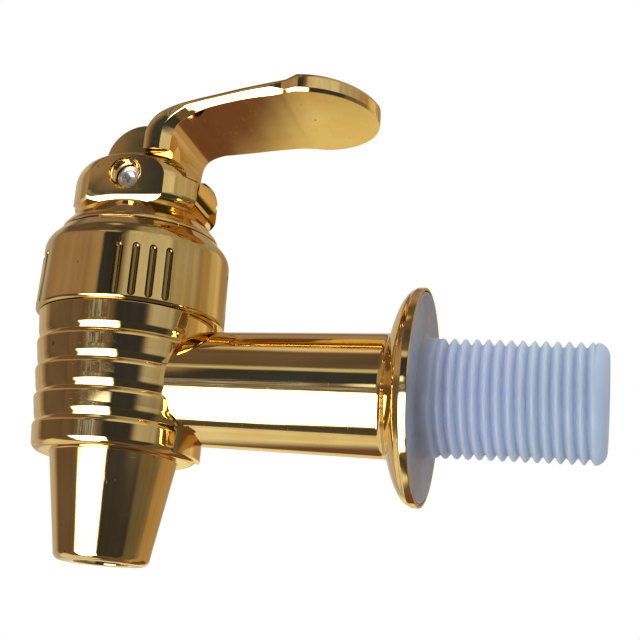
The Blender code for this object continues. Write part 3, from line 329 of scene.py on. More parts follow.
def combine(target, shape, operation="DIFFERENCE"):
    """Cuts, adds or intersects at once with a shape that is then thrown away."""
    tool = make_piece("tool", shape)
    modifier = target.modifiers.new("tool", "BOOLEAN")
    modifier.operation = operation
    modifier.solver = "EXACT"
    modifier.object = tool
    apply_modifiers(target)
    discard(tool)


def discard(piece):
    """Removes an object together with its mesh."""
    mesh = piece.data
    bpy.data.objects.remove(piece, do_unlink=True)
    bpy.data.meshes.remove(mesh)


def to_shape(piece):
    """Turns a finished object back into a shape in millimetres."""
    shape = bmesh.new()
    shape.from_mesh(piece.data)
    bmesh.ops.scale(shape, vec=(1 / MM, 1 / MM, 1 / MM), verts=shape.verts)
    discard(piece)
    return shape


def apply_modifiers(piece):
    """Bakes an object's modifiers into its mesh."""
    graph = bpy.context.evaluated_depsgraph_get()
    finished = bpy.data.meshes.new_from_object(piece.evaluated_get(graph))
    old = piece.data
    piece.modifiers.clear()
    piece.data = finished
    bpy.data.meshes.remove(old)


def soften(piece, width, segments=3, angle_deg=32.0):
    """Rounds the piece's real edges a little and shades it smooth."""
    modifier = piece.modifiers.new("edges", "BEVEL")
    modifier.width = width * MM
    modifier.segments = segments
    modifier.limit_method = "ANGLE"
    modifier.angle_limit = math.radians(angle_deg)
    modifier.use_clamp_overlap = True
    modifier.miter_outer = "MITER_ARC"
    apply_modifiers(piece)
    shade_smooth(piece, angle_deg)


def shade_smooth(piece, angle_deg=32.0):
    """Smooth shading in which large faces stay flat and edges above the angle stay sharp."""
    piece.data.shade_smooth()
    piece.data.set_sharp_from_angle(angle=math.radians(angle_deg))
    modifier = piece.modifiers.new("flat_faces", "WEIGHTED_NORMAL")
    modifier.mode = "FACE_AREA_WITH_ANGLE"
    modifier.weight = 50
    modifier.keep_sharp = True
    apply_modifiers(piece)


def dress(piece, body, slot, material, *nodes):
    """Gives a piece its finish and its body, and hides the CAD nodes it stands for."""
    piece.data.materials.clear()
    piece.data.materials.append(material)
    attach(piece, body)
    if nodes:
        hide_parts(*nodes)


# Finishes

class Nodes:
    """Short way to lay out the nodes of a material or of the world."""

    def __init__(self, tree, place):
        self.tree = tree
        self.place = self.node("ShaderNodeTexCoord").outputs[place]

    def node(self, kind, **settings):
        """Adds a node and sets its options."""
        made = self.tree.nodes.new(kind)
        for key, value in settings.items():
            setattr(made, key, value)
        return made

    def link(self, source, target):
        """Joins two sockets."""
        self.tree.links.new(source, target)

    def feed(self, socket, value):
        """Links another node's socket to a socket, or sets a plain value there."""
        if isinstance(value, bpy.types.NodeSocket):
            self.link(value, socket)
        else:
            socket.default_value = value

    def noise(self, scale, detail=3.0, stretch=(1.0, 1.0, 1.0), shift=0.0):
        """Noise over the place or direction, its scale in cells per metre for a material."""
        mapping = self.node("ShaderNodeMapping")
        mapping.inputs["Scale"].default_value = stretch
        mapping.inputs["Location"].default_value = (shift, shift * 0.7, -shift)
        self.link(self.place, mapping.inputs["Vector"])
        noise = self.node("ShaderNodeTexNoise")
        noise.inputs["Scale"].default_value = scale
        noise.inputs["Detail"].default_value = detail
        self.link(mapping.outputs["Vector"], noise.inputs["Vector"])
        return noise.outputs["Fac"]

    def ranged(self, value, low, high, to_low=0.0, to_high=1.0, **settings):
        """Maps a value from one range to another."""
        mapped = self.node("ShaderNodeMapRange", **settings)
        limits = {"From Min": low, "From Max": high, "To Min": to_low, "To Max": to_high}
        for socket, limit in limits.items():
            mapped.inputs[socket].default_value = limit
        self.link(value, mapped.inputs["Value"])
        return mapped.outputs["Result"]

    def mixed(self, factor, first, second):
        """Blends two colours or sockets by a factor."""
        mix = self.node("ShaderNodeMix", data_type="RGBA")
        self.link(factor, mix.inputs["Factor"])
        for socket, value in ((mix.inputs["A"], first), (mix.inputs["B"], second)):
            self.feed(socket, (*value, 1.0) if isinstance(value, tuple) else value)
        return mix.outputs["Result"]

    def math(self, operation, *values):
        """Joins values or sockets by one sum."""
        made = self.node("ShaderNodeMath", operation=operation)
        for socket, value in zip(made.inputs, values):
            self.feed(socket, value)
        return made.outputs[0]


class Finish(Nodes):
    """Nodes of one material, laid out in object space."""

    def __init__(self, name):
        self.material = bpy.data.materials.new(name)
        self.material.use_nodes = True
        super().__init__(self.material.node_tree, "Object")
        self.shader = self.tree.nodes["Principled BSDF"]

    def bump(self, height, strength, depth, under=None):
        """Bump whose depth is given in millimetres."""
        made = self.node("ShaderNodeBump")
        made.inputs["Strength"].default_value = strength
        made.inputs["Distance"].default_value = depth * MM
        self.link(height, made.inputs["Height"])
        if under is not None:
            self.link(under, made.inputs["Normal"])
        return made.outputs["Normal"]

    def put(self, socket, value):
        """Links a value to one of the shader's sockets, or sets it there."""
        self.feed(self.shader.inputs[socket], value)


def scaled(colour, share):
    """The same colour made darker or lighter."""
    return tuple(channel * share for channel in colour)


def gold_plate(name, shift, waviness=0.5, painted_shade_factor=1.0, haze_rough=0.0):
    """Bright plating on moulded plastic: faint waves, haze, fine scratches and worn specks. A
    factor below one darkens the colour as painted shade.
    """
    look = bpy.context.scene.tap_finish
    # A factor below one darkens the plating's colour: painted shade.
    gold = scaled(look.gold, painted_shade_factor)
    finish = Finish(name)
    finish.put("Metallic", 1.0)
    cloud = finish.noise(160.0, 3.0, shift=shift)
    deep = (gold[0] * 0.93, gold[1] * 0.86, gold[2] * 0.74)
    tint = finish.mixed(finish.ranged(cloud, 0.35, 0.7), gold, deep)
    speck = finish.ranged(finish.noise(900.0, 1.0, shift=shift + 2.0), 0.775, 0.80)
    worn = (0.30, 0.16, 0.07)
    finish.put("Base Color", finish.mixed(speck, tint, worn))
    haze = finish.ranged(finish.noise(420.0, 4.0, shift=shift), 0.3, 0.8, 0.0, 0.04)
    scratch_a = finish.noise(900.0, 2.0, (9.0, 0.5, 0.6), shift)
    scratch_b = finish.noise(800.0, 2.0, (0.6, 0.8, 8.0), shift + 5.0)
    scratches = finish.math("MAXIMUM", finish.ranged(scratch_a, 0.70, 0.76),
                            finish.ranged(scratch_b, 0.72, 0.78))
    rough = finish.math("ADD", haze, finish.math("MULTIPLY", scratches, 0.12))
    rough = finish.math("ADD", rough, finish.math("MULTIPLY", speck, 0.3))
    finish.put("Roughness", finish.math("ADD", rough, look.gold_roughness + haze_rough))
    waves = finish.bump(finish.noise(130.0, 1.0, shift=shift), waviness, 0.05)
    peel = finish.bump(finish.noise(1100.0, 2.0, shift=shift), 0.12, 0.004, waves)
    finish.put("Normal", finish.bump(scratches, 0.25, 0.004, peel))
    return finish.material


def milky_plastic(name):
    """Natural plastic that light passes into, with painted shade: grey on the disc next to the
    flange, fading to the milky colour along the tail.
    """
    look = bpy.context.scene.tap_finish
    milky = tuple(look.milky)
    finish = Finish(name)
    split = finish.node("ShaderNodeSeparateXYZ")
    finish.link(finish.place, split.inputs["Vector"])
    # Painted shade: grey on the disc, fading to the milky colour over the tail's first 4 mm.
    painted_shade_grey = (0.245, 0.25, 0.30)
    behind = finish.ranged(split.outputs["X"], 0.0002, 0.0042)
    base = finish.mixed(behind, painted_shade_grey, milky)
    cool = (milky[0] * 0.96, milky[1] * 1.02, milky[2] * 0.92)
    past = finish.ranged(split.outputs["X"], 0.0118, 0.0132, 0.0, 0.8)
    base = finish.mixed(past, base, cool)
    cloud = finish.ranged(finish.noise(110.0, 3.0), 0.3, 0.75, 0.0, 0.35)
    finish.put("Base Color", finish.mixed(cloud, base, (0.56, 0.60, 0.76)))
    finish.put("Roughness", finish.ranged(finish.noise(700.0, 4.0), 0.3, 0.7, 0.34, 0.5))
    finish.put("Subsurface Weight", 1.0)
    finish.put("Subsurface Radius", (0.9, 1.0, 1.3))
    finish.put("Subsurface Scale", 0.003)
    finish.put("IOR", 1.49)
    finish.put("Normal", finish.bump(finish.noise(1400.0, 3.0), 0.3, 0.01))
    return finish.material


def bare_metal(name, colour, roughness, grain):
    """Turned or drawn metal: fine grain along one way, stains and a little wear."""
    finish = Finish(name)
    finish.put("Metallic", 1.0)
    lines = finish.noise(1600.0, 3.0, grain)
    cloud = finish.noise(300.0, 3.0, shift=1.0)
    stains = finish.ranged(cloud, 0.4, 0.7)
    finish.put("Base Color", finish.mixed(stains, colour, scaled(colour, 0.8)))
    finish.put("Roughness", finish.ranged(lines, 0.3, 0.7, roughness * 0.8, roughness * 1.35))
    finish.put("Normal", finish.bump(lines, 0.3, 0.006))
    return finish.material


def soft_seal(name, colour, roughness):
    """Rubber or silicone: matt, faintly dusty, with a moulded skin."""
    finish = Finish(name)
    dust = finish.ranged(finish.noise(500.0, 4.0), 0.45, 0.75, 0.0, 0.35)
    pale = tuple(min(1.0, channel + 0.12) for channel in colour)
    finish.put("Base Color", finish.mixed(dust, colour, pale))
    finish.put("Roughness", finish.ranged(finish.noise(900.0, 3.0), 0.3, 0.7,
                                          roughness - 0.08, roughness + 0.1))
    finish.put("Normal", finish.bump(finish.noise(2500.0, 3.0), 0.4, 0.01))
    return finish.material


def moulded_plastic(name, colour):
    """Hard white plastic with faint flow marks."""
    finish = Finish(name)
    flow = finish.ranged(finish.noise(260.0, 3.0, (1.0, 1.0, 3.0)), 0.35, 0.7)
    finish.put("Base Color", finish.mixed(flow, colour, scaled(colour, 0.93)))
    finish.put("Roughness", finish.ranged(finish.noise(1200.0, 2.0), 0.3, 0.7, 0.35, 0.5))
    finish.put("Normal", finish.bump(finish.noise(1800.0, 3.0), 0.25, 0.008))
    return finish.material


# Body: nozzle, ribbed barrel, shank and flange in one moulding

def barrel_profile(sizes):
    """Half section of nozzle, ribbed barrel and neck, as (radius, height, corner radius)."""
    bottom = -9.0
    roll = 1.2
    tip = -24.7
    r_top, r_bottom = sizes.barrel_r_top, sizes.barrel_r_bottom

    def radius_at(height):
        return r_bottom + (r_top - r_bottom) * (height - bottom) / (BARREL_TOP - bottom)

    outline = [(3.8, tip, 0.25)]
    tip_round = 1.1
    outline += arc((sizes.nozzle_r_tip - tip_round, tip + tip_round), tip_round, -90, 0, 10)
    outline.append((8.85, bottom - roll, 0.12))
    outline += arc((r_bottom - roll, bottom), roll, -90, 0, 10)
    depth = sizes.rib_groove_depth
    for index in (3, 2, 1, 0):
        height = 5.45 - sizes.rib_pitch * index
        radius = radius_at(height)
        outline += [
            (radius, height - 0.72, 0.3),
            (radius - depth * 0.2, height - 0.42, 0.1),
            (radius - depth, height, 0.07),
            (radius - depth * 0.35, height + 0.6, 0.3),
            (radius - 0.04, height + 1.1, 0.3),
            (radius + 0.01, height + 1.55, 0.3),
        ]
    outline += [
        (r_top, BARREL_TOP, EDGE), (NECK_R, BARREL_TOP), (NECK_R, NECK_TOP, 0.2),
        (CHAMBER_R, NECK_TOP, 0.1), (CHAMBER_R, -8.0, 0.2), (6.3, -8.0, 0.1),
        (5.9, -7.2, 0.1), (4.9, -7.2, 0.1), (4.9, -10.0), (3.8, -22.7),
    ]
    return eased(outline)


def flange_profile(sizes):
    """Shank with its domed flange, as (radius, x) measured from the wall."""
    rim = -DISC_THICKNESS - CLOSE_GAP
    edge = 0.15
    fillet = 1.1
    depth = 2.9
    foot = 8.45 + fillet
    dome_r = sizes.flange_rim_r - 0.2
    outline = [(0.0, rim), (DISC_R + CLOSE_GAP, rim), (DISC_R + CLOSE_GAP, -0.06, 0.06),
               (sizes.flange_rim_r, -0.06, 0.3), (sizes.flange_rim_r, rim - 0.1, 0.5)]
    for step in range(1, 15):
        share = step / 14.0
        across = dome_r - (dome_r - foot) * share * share
        outline.append((across, rim - edge - depth * share))
    front = rim - edge - depth
    outline += arc((foot, front - fillet), fillet, 90, 180, 8)[1:]
    outline += [(7.75, -BARREL_REACH), (0.0, -BARREL_REACH)]
    return eased(outline)


def root_arch(radius):
    """Outline in Y and Z of the relief where the shank meets the barrel."""
    side, leg = 6.5, 5.05
    meet_deg = math.degrees(math.acos(side / radius))
    leg_deg = math.degrees(math.acos(leg / radius))
    arch = [(side, BARREL_TOP + 0.05)]
    arch += arc((0.0, 0.0), radius, meet_deg, -leg_deg, 40)
    arch += [(leg, -13.0), (-leg, -13.0)]
    arch += arc((0.0, 0.0), radius, 180.0 + leg_deg, 180.0 - meet_deg, 40)
    return arch + [(-side, BARREL_TOP + 0.05)]


def build_body(sizes):
    """Barrel with its relief, then the shank with its flange, then the bore."""
    wall_r = 11.95
    middle = (CHAMBER_R + wall_r) / 2.0
    arch_r, arch_near, arch_far = 8.55, 2.0, 15.8

    def core(radius):
        shape = turned([(0.0, -40.0), (radius, -40.0), (radius, 40.0), (0.0, 40.0)])
        return at_barrel(placed(shape, Matrix.Rotation(math.tau / FINE / 4.0, 4, "Z")))

    body = make_piece("ribbed_tap_body", at_barrel(turned(barrel_profile(sizes))))
    combine(body, at_barrel(box((middle - 0.4, -5.0, -9.75), (wall_r + 0.5, 5.0, -4.3))), "UNION")
    arch = extruded(root_arch(arch_r), arch_near, arch_far, "X")
    relief = make_piece("relief", at_barrel(arch))
    combine(relief, core(wall_r))
    combine(body, to_shape(relief))
    shank = make_piece("shank", along_x(turned(flange_profile(sizes))))
    combine(shank, core(middle))
    combine(body, to_shape(shank), "UNION")

    seat_r, seat_end = LINER_R + FIT_GAP, -LINER_LENGTH - FIT_GAP
    bore_end = -BARREL_REACH + 5.0
    bore = [(0.0, 1.0), (seat_r, 1.0), (seat_r, seat_end), (SHANK_BORE_R, seat_end - 0.6),
            (SHANK_BORE_R, bore_end), (0.0, bore_end)]
    combine(body, along_x(turned(bore, 96)))
    shade_smooth(body, 30.0)
    return body


class TAP_OT_body(bpy.types.Operator):
    """Build the plated body with its ribbed barrel, nozzle, shank and flange"""
    bl_idname = "tap.body"
    bl_label = "Tap body"

    def execute(self, context):
        body = build_body(context.scene.tap_body)
        dress(body, "tap_body", "gold_body", gold_plate("plated_body", 0.0), "body")
        return {"FINISHED"}


# Bonnet

def bonnet_profile(sizes):
    """Half section of the bonnet, as (radius, height, corner radius)."""
    skirt = BARREL_TOP + SEAM
    r_low, r_high = sizes.bonnet_r, sizes.bonnet_r - 0.2
    shoulder = 3.0
    bore = STEM_R + FIT_GAP
    pocket = STEM_R + 2.0 * CLOSE_GAP + 1.3
    guide_low = 14.6
    ceiling = NECK_TOP + 2.0 * FIT_GAP + 0.8
    outline = [(r_low - 0.5, skirt, 0.1)]
    outline += arc((r_low - 0.5, skirt + 0.5), 0.5, -60, 0, 5)
    outline += arc((r_high - shoulder, 18.2), shoulder, 0, 48, 12)
    outline += [
        (11.3, BONNET_LAND - 0.1, 0.1), (11.15, BONNET_LAND, 0.1),
        (SWIVEL_NECK_R, BONNET_LAND), (SWIVEL_NECK_R, SNAP_RING_LOW), (7.15, SNAP_RING_LOW),
        (7.15, SNAP_RING_HIGH), (SWIVEL_NECK_R, SNAP_RING_HIGH), (SWIVEL_NECK_R, 23.6, 0.25),
        (bore, 23.6, 0.1), (bore, guide_low + 2.2), (pocket, guide_low + 2.2),
        (pocket, guide_low), (6.4, guide_low, 0.1), (6.4, ceiling),
        (NECK_R + FIT_GAP, ceiling), (NECK_R + FIT_GAP, skirt, 0.1),
    ]
    return eased(outline)


def grip_rods(sizes):
    """Upright round-ended rods that cut the bonnet's flutes, four groups of four."""
    radius = sizes.grip_width / 2.0
    low, high = GRIP_LOW + radius, GRIP_HIGH - radius
    profile = [(0.0, low - radius)] + arc((0.0, low), radius, -75, 0, 5)
    profile += arc((0.0, high), radius, 0, 75, 5) + [(0.0, high + radius)]
    shape = bmesh.new()
    for group in range(4):
        for index in range(4):
            angle = GRIP_CENTRE_DEG + 90.0 * group + (index - 1.5) * GRIP_PITCH_DEG
            rod = turned(profile, 32)
            reach = sizes.bonnet_r - 0.1 + radius - 0.55
            placed(rod, Matrix.Rotation(math.radians(angle), 4, "Z")
                   @ Matrix.Translation((reach, 0.0, 0.0)))
            part = bpy.data.meshes.new("rod")
            rod.to_mesh(part)
            rod.free()
            shape.from_mesh(part)
            bpy.data.meshes.remove(part)
    return at_barrel(shape)


class TAP_OT_bonnet(bpy.types.Operator):
    """Build the fluted bonnet"""
    bl_idname = "tap.bonnet"
    bl_label = "Fluted bonnet"

    def execute(self, context):
        sizes = context.scene.tap_top
        bonnet = make_piece("fluted_bonnet", at_barrel(turned(bonnet_profile(sizes), 192)))
        combine(bonnet, grip_rods(sizes))
        soften(bonnet, 0.1, 3, 30.0)
        # The bonnet's plating is a copy darkened to 0.8: painted shade over the whole piece.
        plate = gold_plate("plated_bonnet_painted_shade", 3.1, 0.5, 0.8)
        dress(bonnet, "tap_body", "gold_bonnet", plate, "bonnet")
        # The flutes get a copy of the plating darkened to 0.3: painted shade in their hollows.
        bonnet.data.materials.append(gold_plate("plated_flutes_painted_shade", 4.0, 0.5, 0.3, 0.12))
        # Faces inside the flutes take the darker copy, the painted shade.
        for face in bonnet.data.polygons:
            middle = face.center / MM
            reach = math.hypot(middle.x + BARREL_REACH, middle.y)
            inside = NECK_R + 1.0 < reach < sizes.bonnet_r - 0.24
            if inside and GRIP_LOW < middle.z < GRIP_HIGH and abs(face.normal.z) < 0.9:
                face.material_index = 1
        return {"FINISHED"}


# Yoke

def yoke_profile(radius):
    """Half section of the yoke blank, as (radius, height, corner radius)."""
    bore = SWIVEL_NECK_R + FIT_GAP
    collar = BONNET_LAND + SEAM
    waist = SLOT_FLOOR - 0.3
    roof = SLOT_FLOOR - 0.9
    top = PIVOT_HEIGHT + 3.65
    dome_r = 4.6
    dome = (radius - dome_r, PIVOT_HEIGHT - 0.2)
    end_deg = math.degrees(math.asin((top - dome[1]) / dome_r))
    under = 1.5
    hole = STEM_R + 0.6
    ring = 8.6 + CLOSE_GAP
    outline = [(bore, collar), (11.2, collar, 0.2), (11.15, collar + 0.45, 0.25),
               (9.0, waist, 0.15)]
    outline += arc((radius - under, waist + 0.1 + under), under, -75, 0, 8)
    outline += arc(dome, dome_r, 0, end_deg, 16)
    outline += [(0.0, top), (0.0, roof + 0.5), (hole, roof + 0.5), (hole, roof), (bore, roof),
                (bore, SNAP_RING_HIGH), (ring, SNAP_RING_HIGH), (ring, SNAP_RING_LOW),
                (bore, SNAP_RING_LOW)]
    return eased(outline)


def near_ear_form():
    """Slightly smaller dome that the near ear is trimmed to."""
    radius, dome_r = 10.4, 4.1
    top = PIVOT_HEIGHT + 3.4
    dome = (radius - dome_r, PIVOT_HEIGHT - 0.4)
    end_deg = math.degrees(math.asin((top - dome[1]) / dome_r))
    outline = [(0.0, SLOT_FLOOR - 0.9), (radius, SLOT_FLOOR - 0.9)]
    outline += arc(dome, dome_r, 0, end_deg, 16) + [(0.0, top)]
    return placed(turned(outline), Matrix.Translation((0.3, 0.0, 0.0)))


def build_yoke(sizes):
    """Collar and two flat-sided ears with the slot, the ledge and the screw's seats."""
    ear_flat, slot_half = 8.8, 4.7
    waist = SLOT_FLOOR - 0.3
    reach, top = sizes.yoke_r + 1.0, PIVOT_HEIGHT + 5.0
    yoke = make_piece("swivel_yoke", turned(yoke_profile(sizes.yoke_r)))
    combine(yoke, box((-reach, -slot_half, SLOT_FLOOR), (reach, slot_half, top)))
    hole = STEM_R + 0.6
    combine(yoke, turned([(0.0, SLOT_FLOOR - 2.0), (hole, SLOT_FLOOR - 2.0),
                          (hole, SLOT_FLOOR + 1.0), (0.0, SLOT_FLOOR + 1.0)], 64))
    trim = make_piece("trim", box((-reach, -reach, waist + 0.1), (reach, -slot_half / 2, top)))
    combine(trim, near_ear_form())
    combine(yoke, to_shape(trim))

    over, ledge, notch_r = 5.0, 0.2, 3.1
    start = math.degrees(math.asin(ledge / notch_r))
    relief = arc((0.0, 0.0), notch_r, start, 112.0, 32)
    relief += [(-2.2, over), (reach, over), (reach, ledge)]
    lift = Matrix.Translation((0.0, 0.0, PIVOT_HEIGHT))
    combine(yoke, placed(extruded(relief, -6.5, 0.0, "Y"), lift))
    chamfer, chamfer_rise = 0.48, 0.9
    foot, outside = waist - 0.01, ear_flat + 4.0
    for side in (-1.0, 1.0):
        cut = [((ear_flat - chamfer) * side, foot), (ear_flat * side, waist + chamfer_rise),
               (ear_flat * side, top), (outside * side, top), (outside * side, foot)]
        combine(yoke, extruded(cut, -reach, reach, "X"))
    flats = (4.0 + CLOSE_GAP) / math.sqrt(3.0)
    pocket = extruded(arc((0.0, 0.0), flats, 0.0, 360.0, 6)[:-1], 6.6, 12.0, "Y")
    combine(yoke, placed(pocket, lift))
    combine(yoke, placed(rod_along_y(1.25, -7.0, 8.0, 48), lift))
    dish = [(0.0, 12.0), (2.5, 12.0), (2.42, 8.9), (2.32, 8.5), (2.12, 8.18), (1.8, 7.95),
            (1.8, 5.7), (0.0, 5.7)]
    face_front = Matrix.Rotation(math.radians(90.0), 4, "X")
    combine(yoke, placed(turned(dish, 72), lift @ face_front))
    yoke.data.transform(Matrix.Translation((-BARREL_REACH * MM, 0.0, 0.0)))
    soften(yoke, 0.16, 3, 30.0)
    return yoke


class TAP_OT_yoke(bpy.types.Operator):
    """Build the swivelling yoke that carries the lever"""
    bl_idname = "tap.yoke"
    bl_label = "Swivel yoke"

    def execute(self, context):
        yoke = build_yoke(context.scene.tap_top)
        dress(yoke, "swivel", "gold_yoke", gold_plate("plated_yoke", 6.4, 0.12), "yoke")
        return {"FINISHED"}


# Lever

def lever_path():
    """Paired top and underside points of the handle in side view, from neck to pad."""
    pairs = [
        ((1.85, 3.95), (5.7, 3.95)), ((1.85, 5.2), (5.7, 4.9)), ((1.95, 6.8), (5.8, 6.2)),
        ((2.54, 8.15), (6.15, 7.4)), ((3.8, 9.4), (7.0, 8.35)), ((6.2, 10.4), (8.5, 9.1)),
        ((9.2, 11.05), (10.3, 9.6)), ((12.6, 11.6), (13.0, 10.1)), ((16.0, 12.2), (16.2, 10.6)),
        ((19.4, 12.75), (19.4, 10.95)), ((22.4, 13.25), (22.4, 11.15)),
    ]
    tops = smooth_through([Vector(top) for top, under in pairs], 5)
    unders = smooth_through([Vector(under) for top, under in pairs], 5)
    return list(zip(tops, unders))


def handle_section(top, under, half, chamfer, edge=0.45):
    """Cross-section of the handle: rounded upper edges and a chamfer below."""
    thickness = (top - under).length
    down = (under - top) / thickness
    edge = min(edge, half * 0.3, thickness * 0.3)
    chamfer = min(chamfer, half * 0.4, thickness * 0.4)
    rise = min(chamfer * 1.35, thickness * 0.55)
    soft = chamfer * 0.14
    steps = arc((half - edge, edge), edge, -90, 0, 4)
    steps += [(half, thickness - rise - soft),
              (half - soft * 0.5, thickness - rise + soft * 0.4),
              (half - chamfer + soft * 0.5, thickness - soft * 0.5),
              (half - chamfer - soft, thickness)]
    right = [(top + down * depth, across) for across, depth in steps]
    left = [(top + down * depth, -across) for across, depth in reversed(steps)]
    return [Vector((point.x, across, point.y)) for point, across in right + left]


def handle_shape(sizes):
    """Neck, blade and round pad lofted through their cross-sections."""
    neck_start, neck_half = 1.85, 8.2
    pad_centre, pad_length = 24.0, 9.8
    sections = []
    for top, under in lever_path():
        share = held((top.x - neck_start) / (pad_centre - neck_start))
        widening = math.sin(share * math.pi / 2) ** 1.2
        half = neck_half + (sizes.lever_half_width - neck_half) * widening
        chamfer = 0.95 - 0.22 * max(0.0, top.x - 19.6)
        sections.append(handle_section(top, under, half, chamfer))
    for angle_deg in (0, 6, 12, 18, 24, 30, 36, 42, 48, 54, 60, 66, 71, 76, 80, 84, 87, 89.2):
        angle = math.radians(angle_deg)
        along = pad_centre + pad_length * math.sin(angle)
        half = sizes.pad_half_width * math.cos(angle)
        top = Vector((along, 13.85 - 0.5 * math.sin(angle) ** 2))
        sections.append(handle_section(top, Vector((along, 11.2)), half, 0.35, 0.6))
    return at_pivot(lofted(sections))


def track_outline(half_width):
    """Round-ended spiral slot in which the cross pin moves as the lever turns."""
    lift_per_degree = STEM_LIFT / LEVER_RANGE_DEG

    def place(angle_deg):
        radius = PIN_START_R + lift_per_degree * angle_deg
        heading = math.radians(90.0 - angle_deg)
        outward = Vector((math.cos(heading), math.sin(heading)))
        onward = Vector((math.sin(heading), -math.cos(heading)))
        slope = math.degrees(lift_per_degree)
        return outward * radius, (outward * slope + onward * radius).normalized()

    inner, outer = [], []
    for step in range(25):
        spot, onward = place(LEVER_RANGE_DEG * step / 24.0)
        across = Vector((-onward.y, onward.x)) * half_width
        outer.append(tuple(spot + across))
        inner.append(tuple(spot - across))

    def round_end(angle_deg, turn_deg):
        spot, onward = place(angle_deg)
        first = math.degrees(math.atan2(onward.y, onward.x)) + turn_deg
        return arc(tuple(spot), half_width, first, first + 180.0, 14)[1:-1]

    return inner + round_end(LEVER_RANGE_DEG, -90.0) + outer[::-1] + round_end(0.0, 90.0)


def build_lever(sizes):
    """Hub between the ears, heel on the ledge and the handle over the shank."""
    hub_half = 4.4
    lever = make_piece("lift_lever", handle_shape(sizes))
    hub = hull_outline(arc((0.0, 0.0), HUB_BOSS_R, 0.0, 360.0, 96)
                       + arc((0.7, 3.35), 5.6, 0.0, 360.0, 144))
    combine(lever, at_pivot(extruded(hub, -hub_half, hub_half, "Y")), "UNION")
    low = 0.2 + FIT_GAP
    start = math.degrees(math.asin(low / 3.4))
    heel = arc((0.0, 0.0), 3.4, start, 66.0, 20)
    heel += [(1.85, 4.95), (5.7, 4.95), (5.8, low)]
    combine(lever, at_pivot(extruded(heel, -6.1, hub_half - 0.02, "Y")), "UNION")
    combine(lever, at_pivot(rod_along_y(SLEEVE_R + 0.25, -hub_half - 1.0, hub_half + 1.0)))
    room = BLADE_HALF_THICKNESS + FIT_GAP
    combine(lever, at_pivot(rod_along_y(HUB_BOSS_R + 0.9, -room, room)))
    swept = []
    for step in range(-1, 10):
        angle = LEVER_RANGE_DEG * step / 8.0
        lift = STEM_LIFT / LEVER_RANGE_DEG * angle
        head = arc((0.0, lift), STEM_R + FIT_GAP, 0.0, 180.0, 32)
        head += arc((0.0, lift + PIN_START_R), PIN_R + 0.6 + FIT_GAP, 0.0, 180.0, 24)
        turn = Matrix.Rotation(math.radians(-angle), 2)
        swept += [tuple(turn @ Vector(point)) for point in head]
    combine(lever, at_pivot(extruded(hull_outline(swept), -room, room, "Y")))
    combine(lever, at_pivot(extruded(track_outline(PIN_R + FIT_GAP), -3.6, 3.6, "Y")))
    soften(lever, 0.14, 3, 34.0)
    return lever


class TAP_OT_lever(bpy.types.Operator):
    """Build the lift lever with its thumb pad"""
    bl_idname = "tap.lever"
    bl_label = "Lift lever"

    def execute(self, context):
        lever = build_lever(context.scene.tap_top)
        dress(lever, "handle", "gold_lever", gold_plate("plated_lever", 9.7, 0.12), "lever")
        return {"FINISHED"}


# Threaded tail

def tail_profile():
    """Half section of the tail with its disc and liner, as (radius, x, corner radius)."""
    length = 24.0
    groove = LINER_R - 1.0
    seal_at = -LINER_LENGTH + 2.4
    half = 0.5 + CLOSE_GAP
    end_round = 1.8
    outline = [(4.6, -LINER_LENGTH, 0.1), (4.6, length - 0.6, 0.1), (5.2, length, 0.1)]
    outline += arc((THREAD_R - end_round, length - end_round), end_round, 90, 0, 10)
    steps = 150
    start, stop = 0.9, length - end_round
    for step in range(1, steps):
        outline.append((THREAD_R, stop + (start - stop) * step / steps))
    outline += arc((THREAD_R + 0.8, 0.8), 0.8, 180, 270, 6)
    outline += [(DISC_R, 0.0, 0.18), (DISC_R, -DISC_THICKNESS, 0.15),
                (LINER_R, -DISC_THICKNESS), (LINER_R, seal_at + half), (groove, seal_at + half),
                (groove, seal_at - half), (LINER_R, seal_at - half), (LINER_R, -LINER_LENGTH, 0.2)]
    return eased(outline)


def thread_wave(pitch):
    """Radius of the thread's surface: a V cut that runs out at both ends."""
    depth = 0.8
    crest = THREAD_R - 0.03

    def wave(radius, x, angle):
        if abs(radius - THREAD_R) > 1e-3 or x < 0.85:
            return radius
        turn = (x / pitch - angle / math.tau) % 1.0
        flank = abs(turn - 0.5) * 2.0
        height = held((flank - 0.12) / 0.7)
        run_in, run_out = held((x - 1.6) / 1.3), held((23.4 - x) / 1.5)
        return crest - (1.0 - height) * depth * run_in * run_out

    return wave


class TAP_OT_threaded_tail(bpy.types.Operator):
    """Build the translucent tail with its thread, disc and liner"""
    bl_idname = "tap.threaded_tail"
    bl_label = "Threaded tail"

    def execute(self, context):
        pitch = context.scene.tap_top.thread_pitch
        shape = turned(tail_profile(), 144, thread_wave(pitch))
        tail = make_piece("threaded_tail", along_x(shape))
        shade_smooth(tail, 40.0)
        dress(tail, "tap_body", "milky_plastic", milky_plastic("milky_tail"), "threaded_inlet")
        return {"FINISHED"}


# Pivot screw

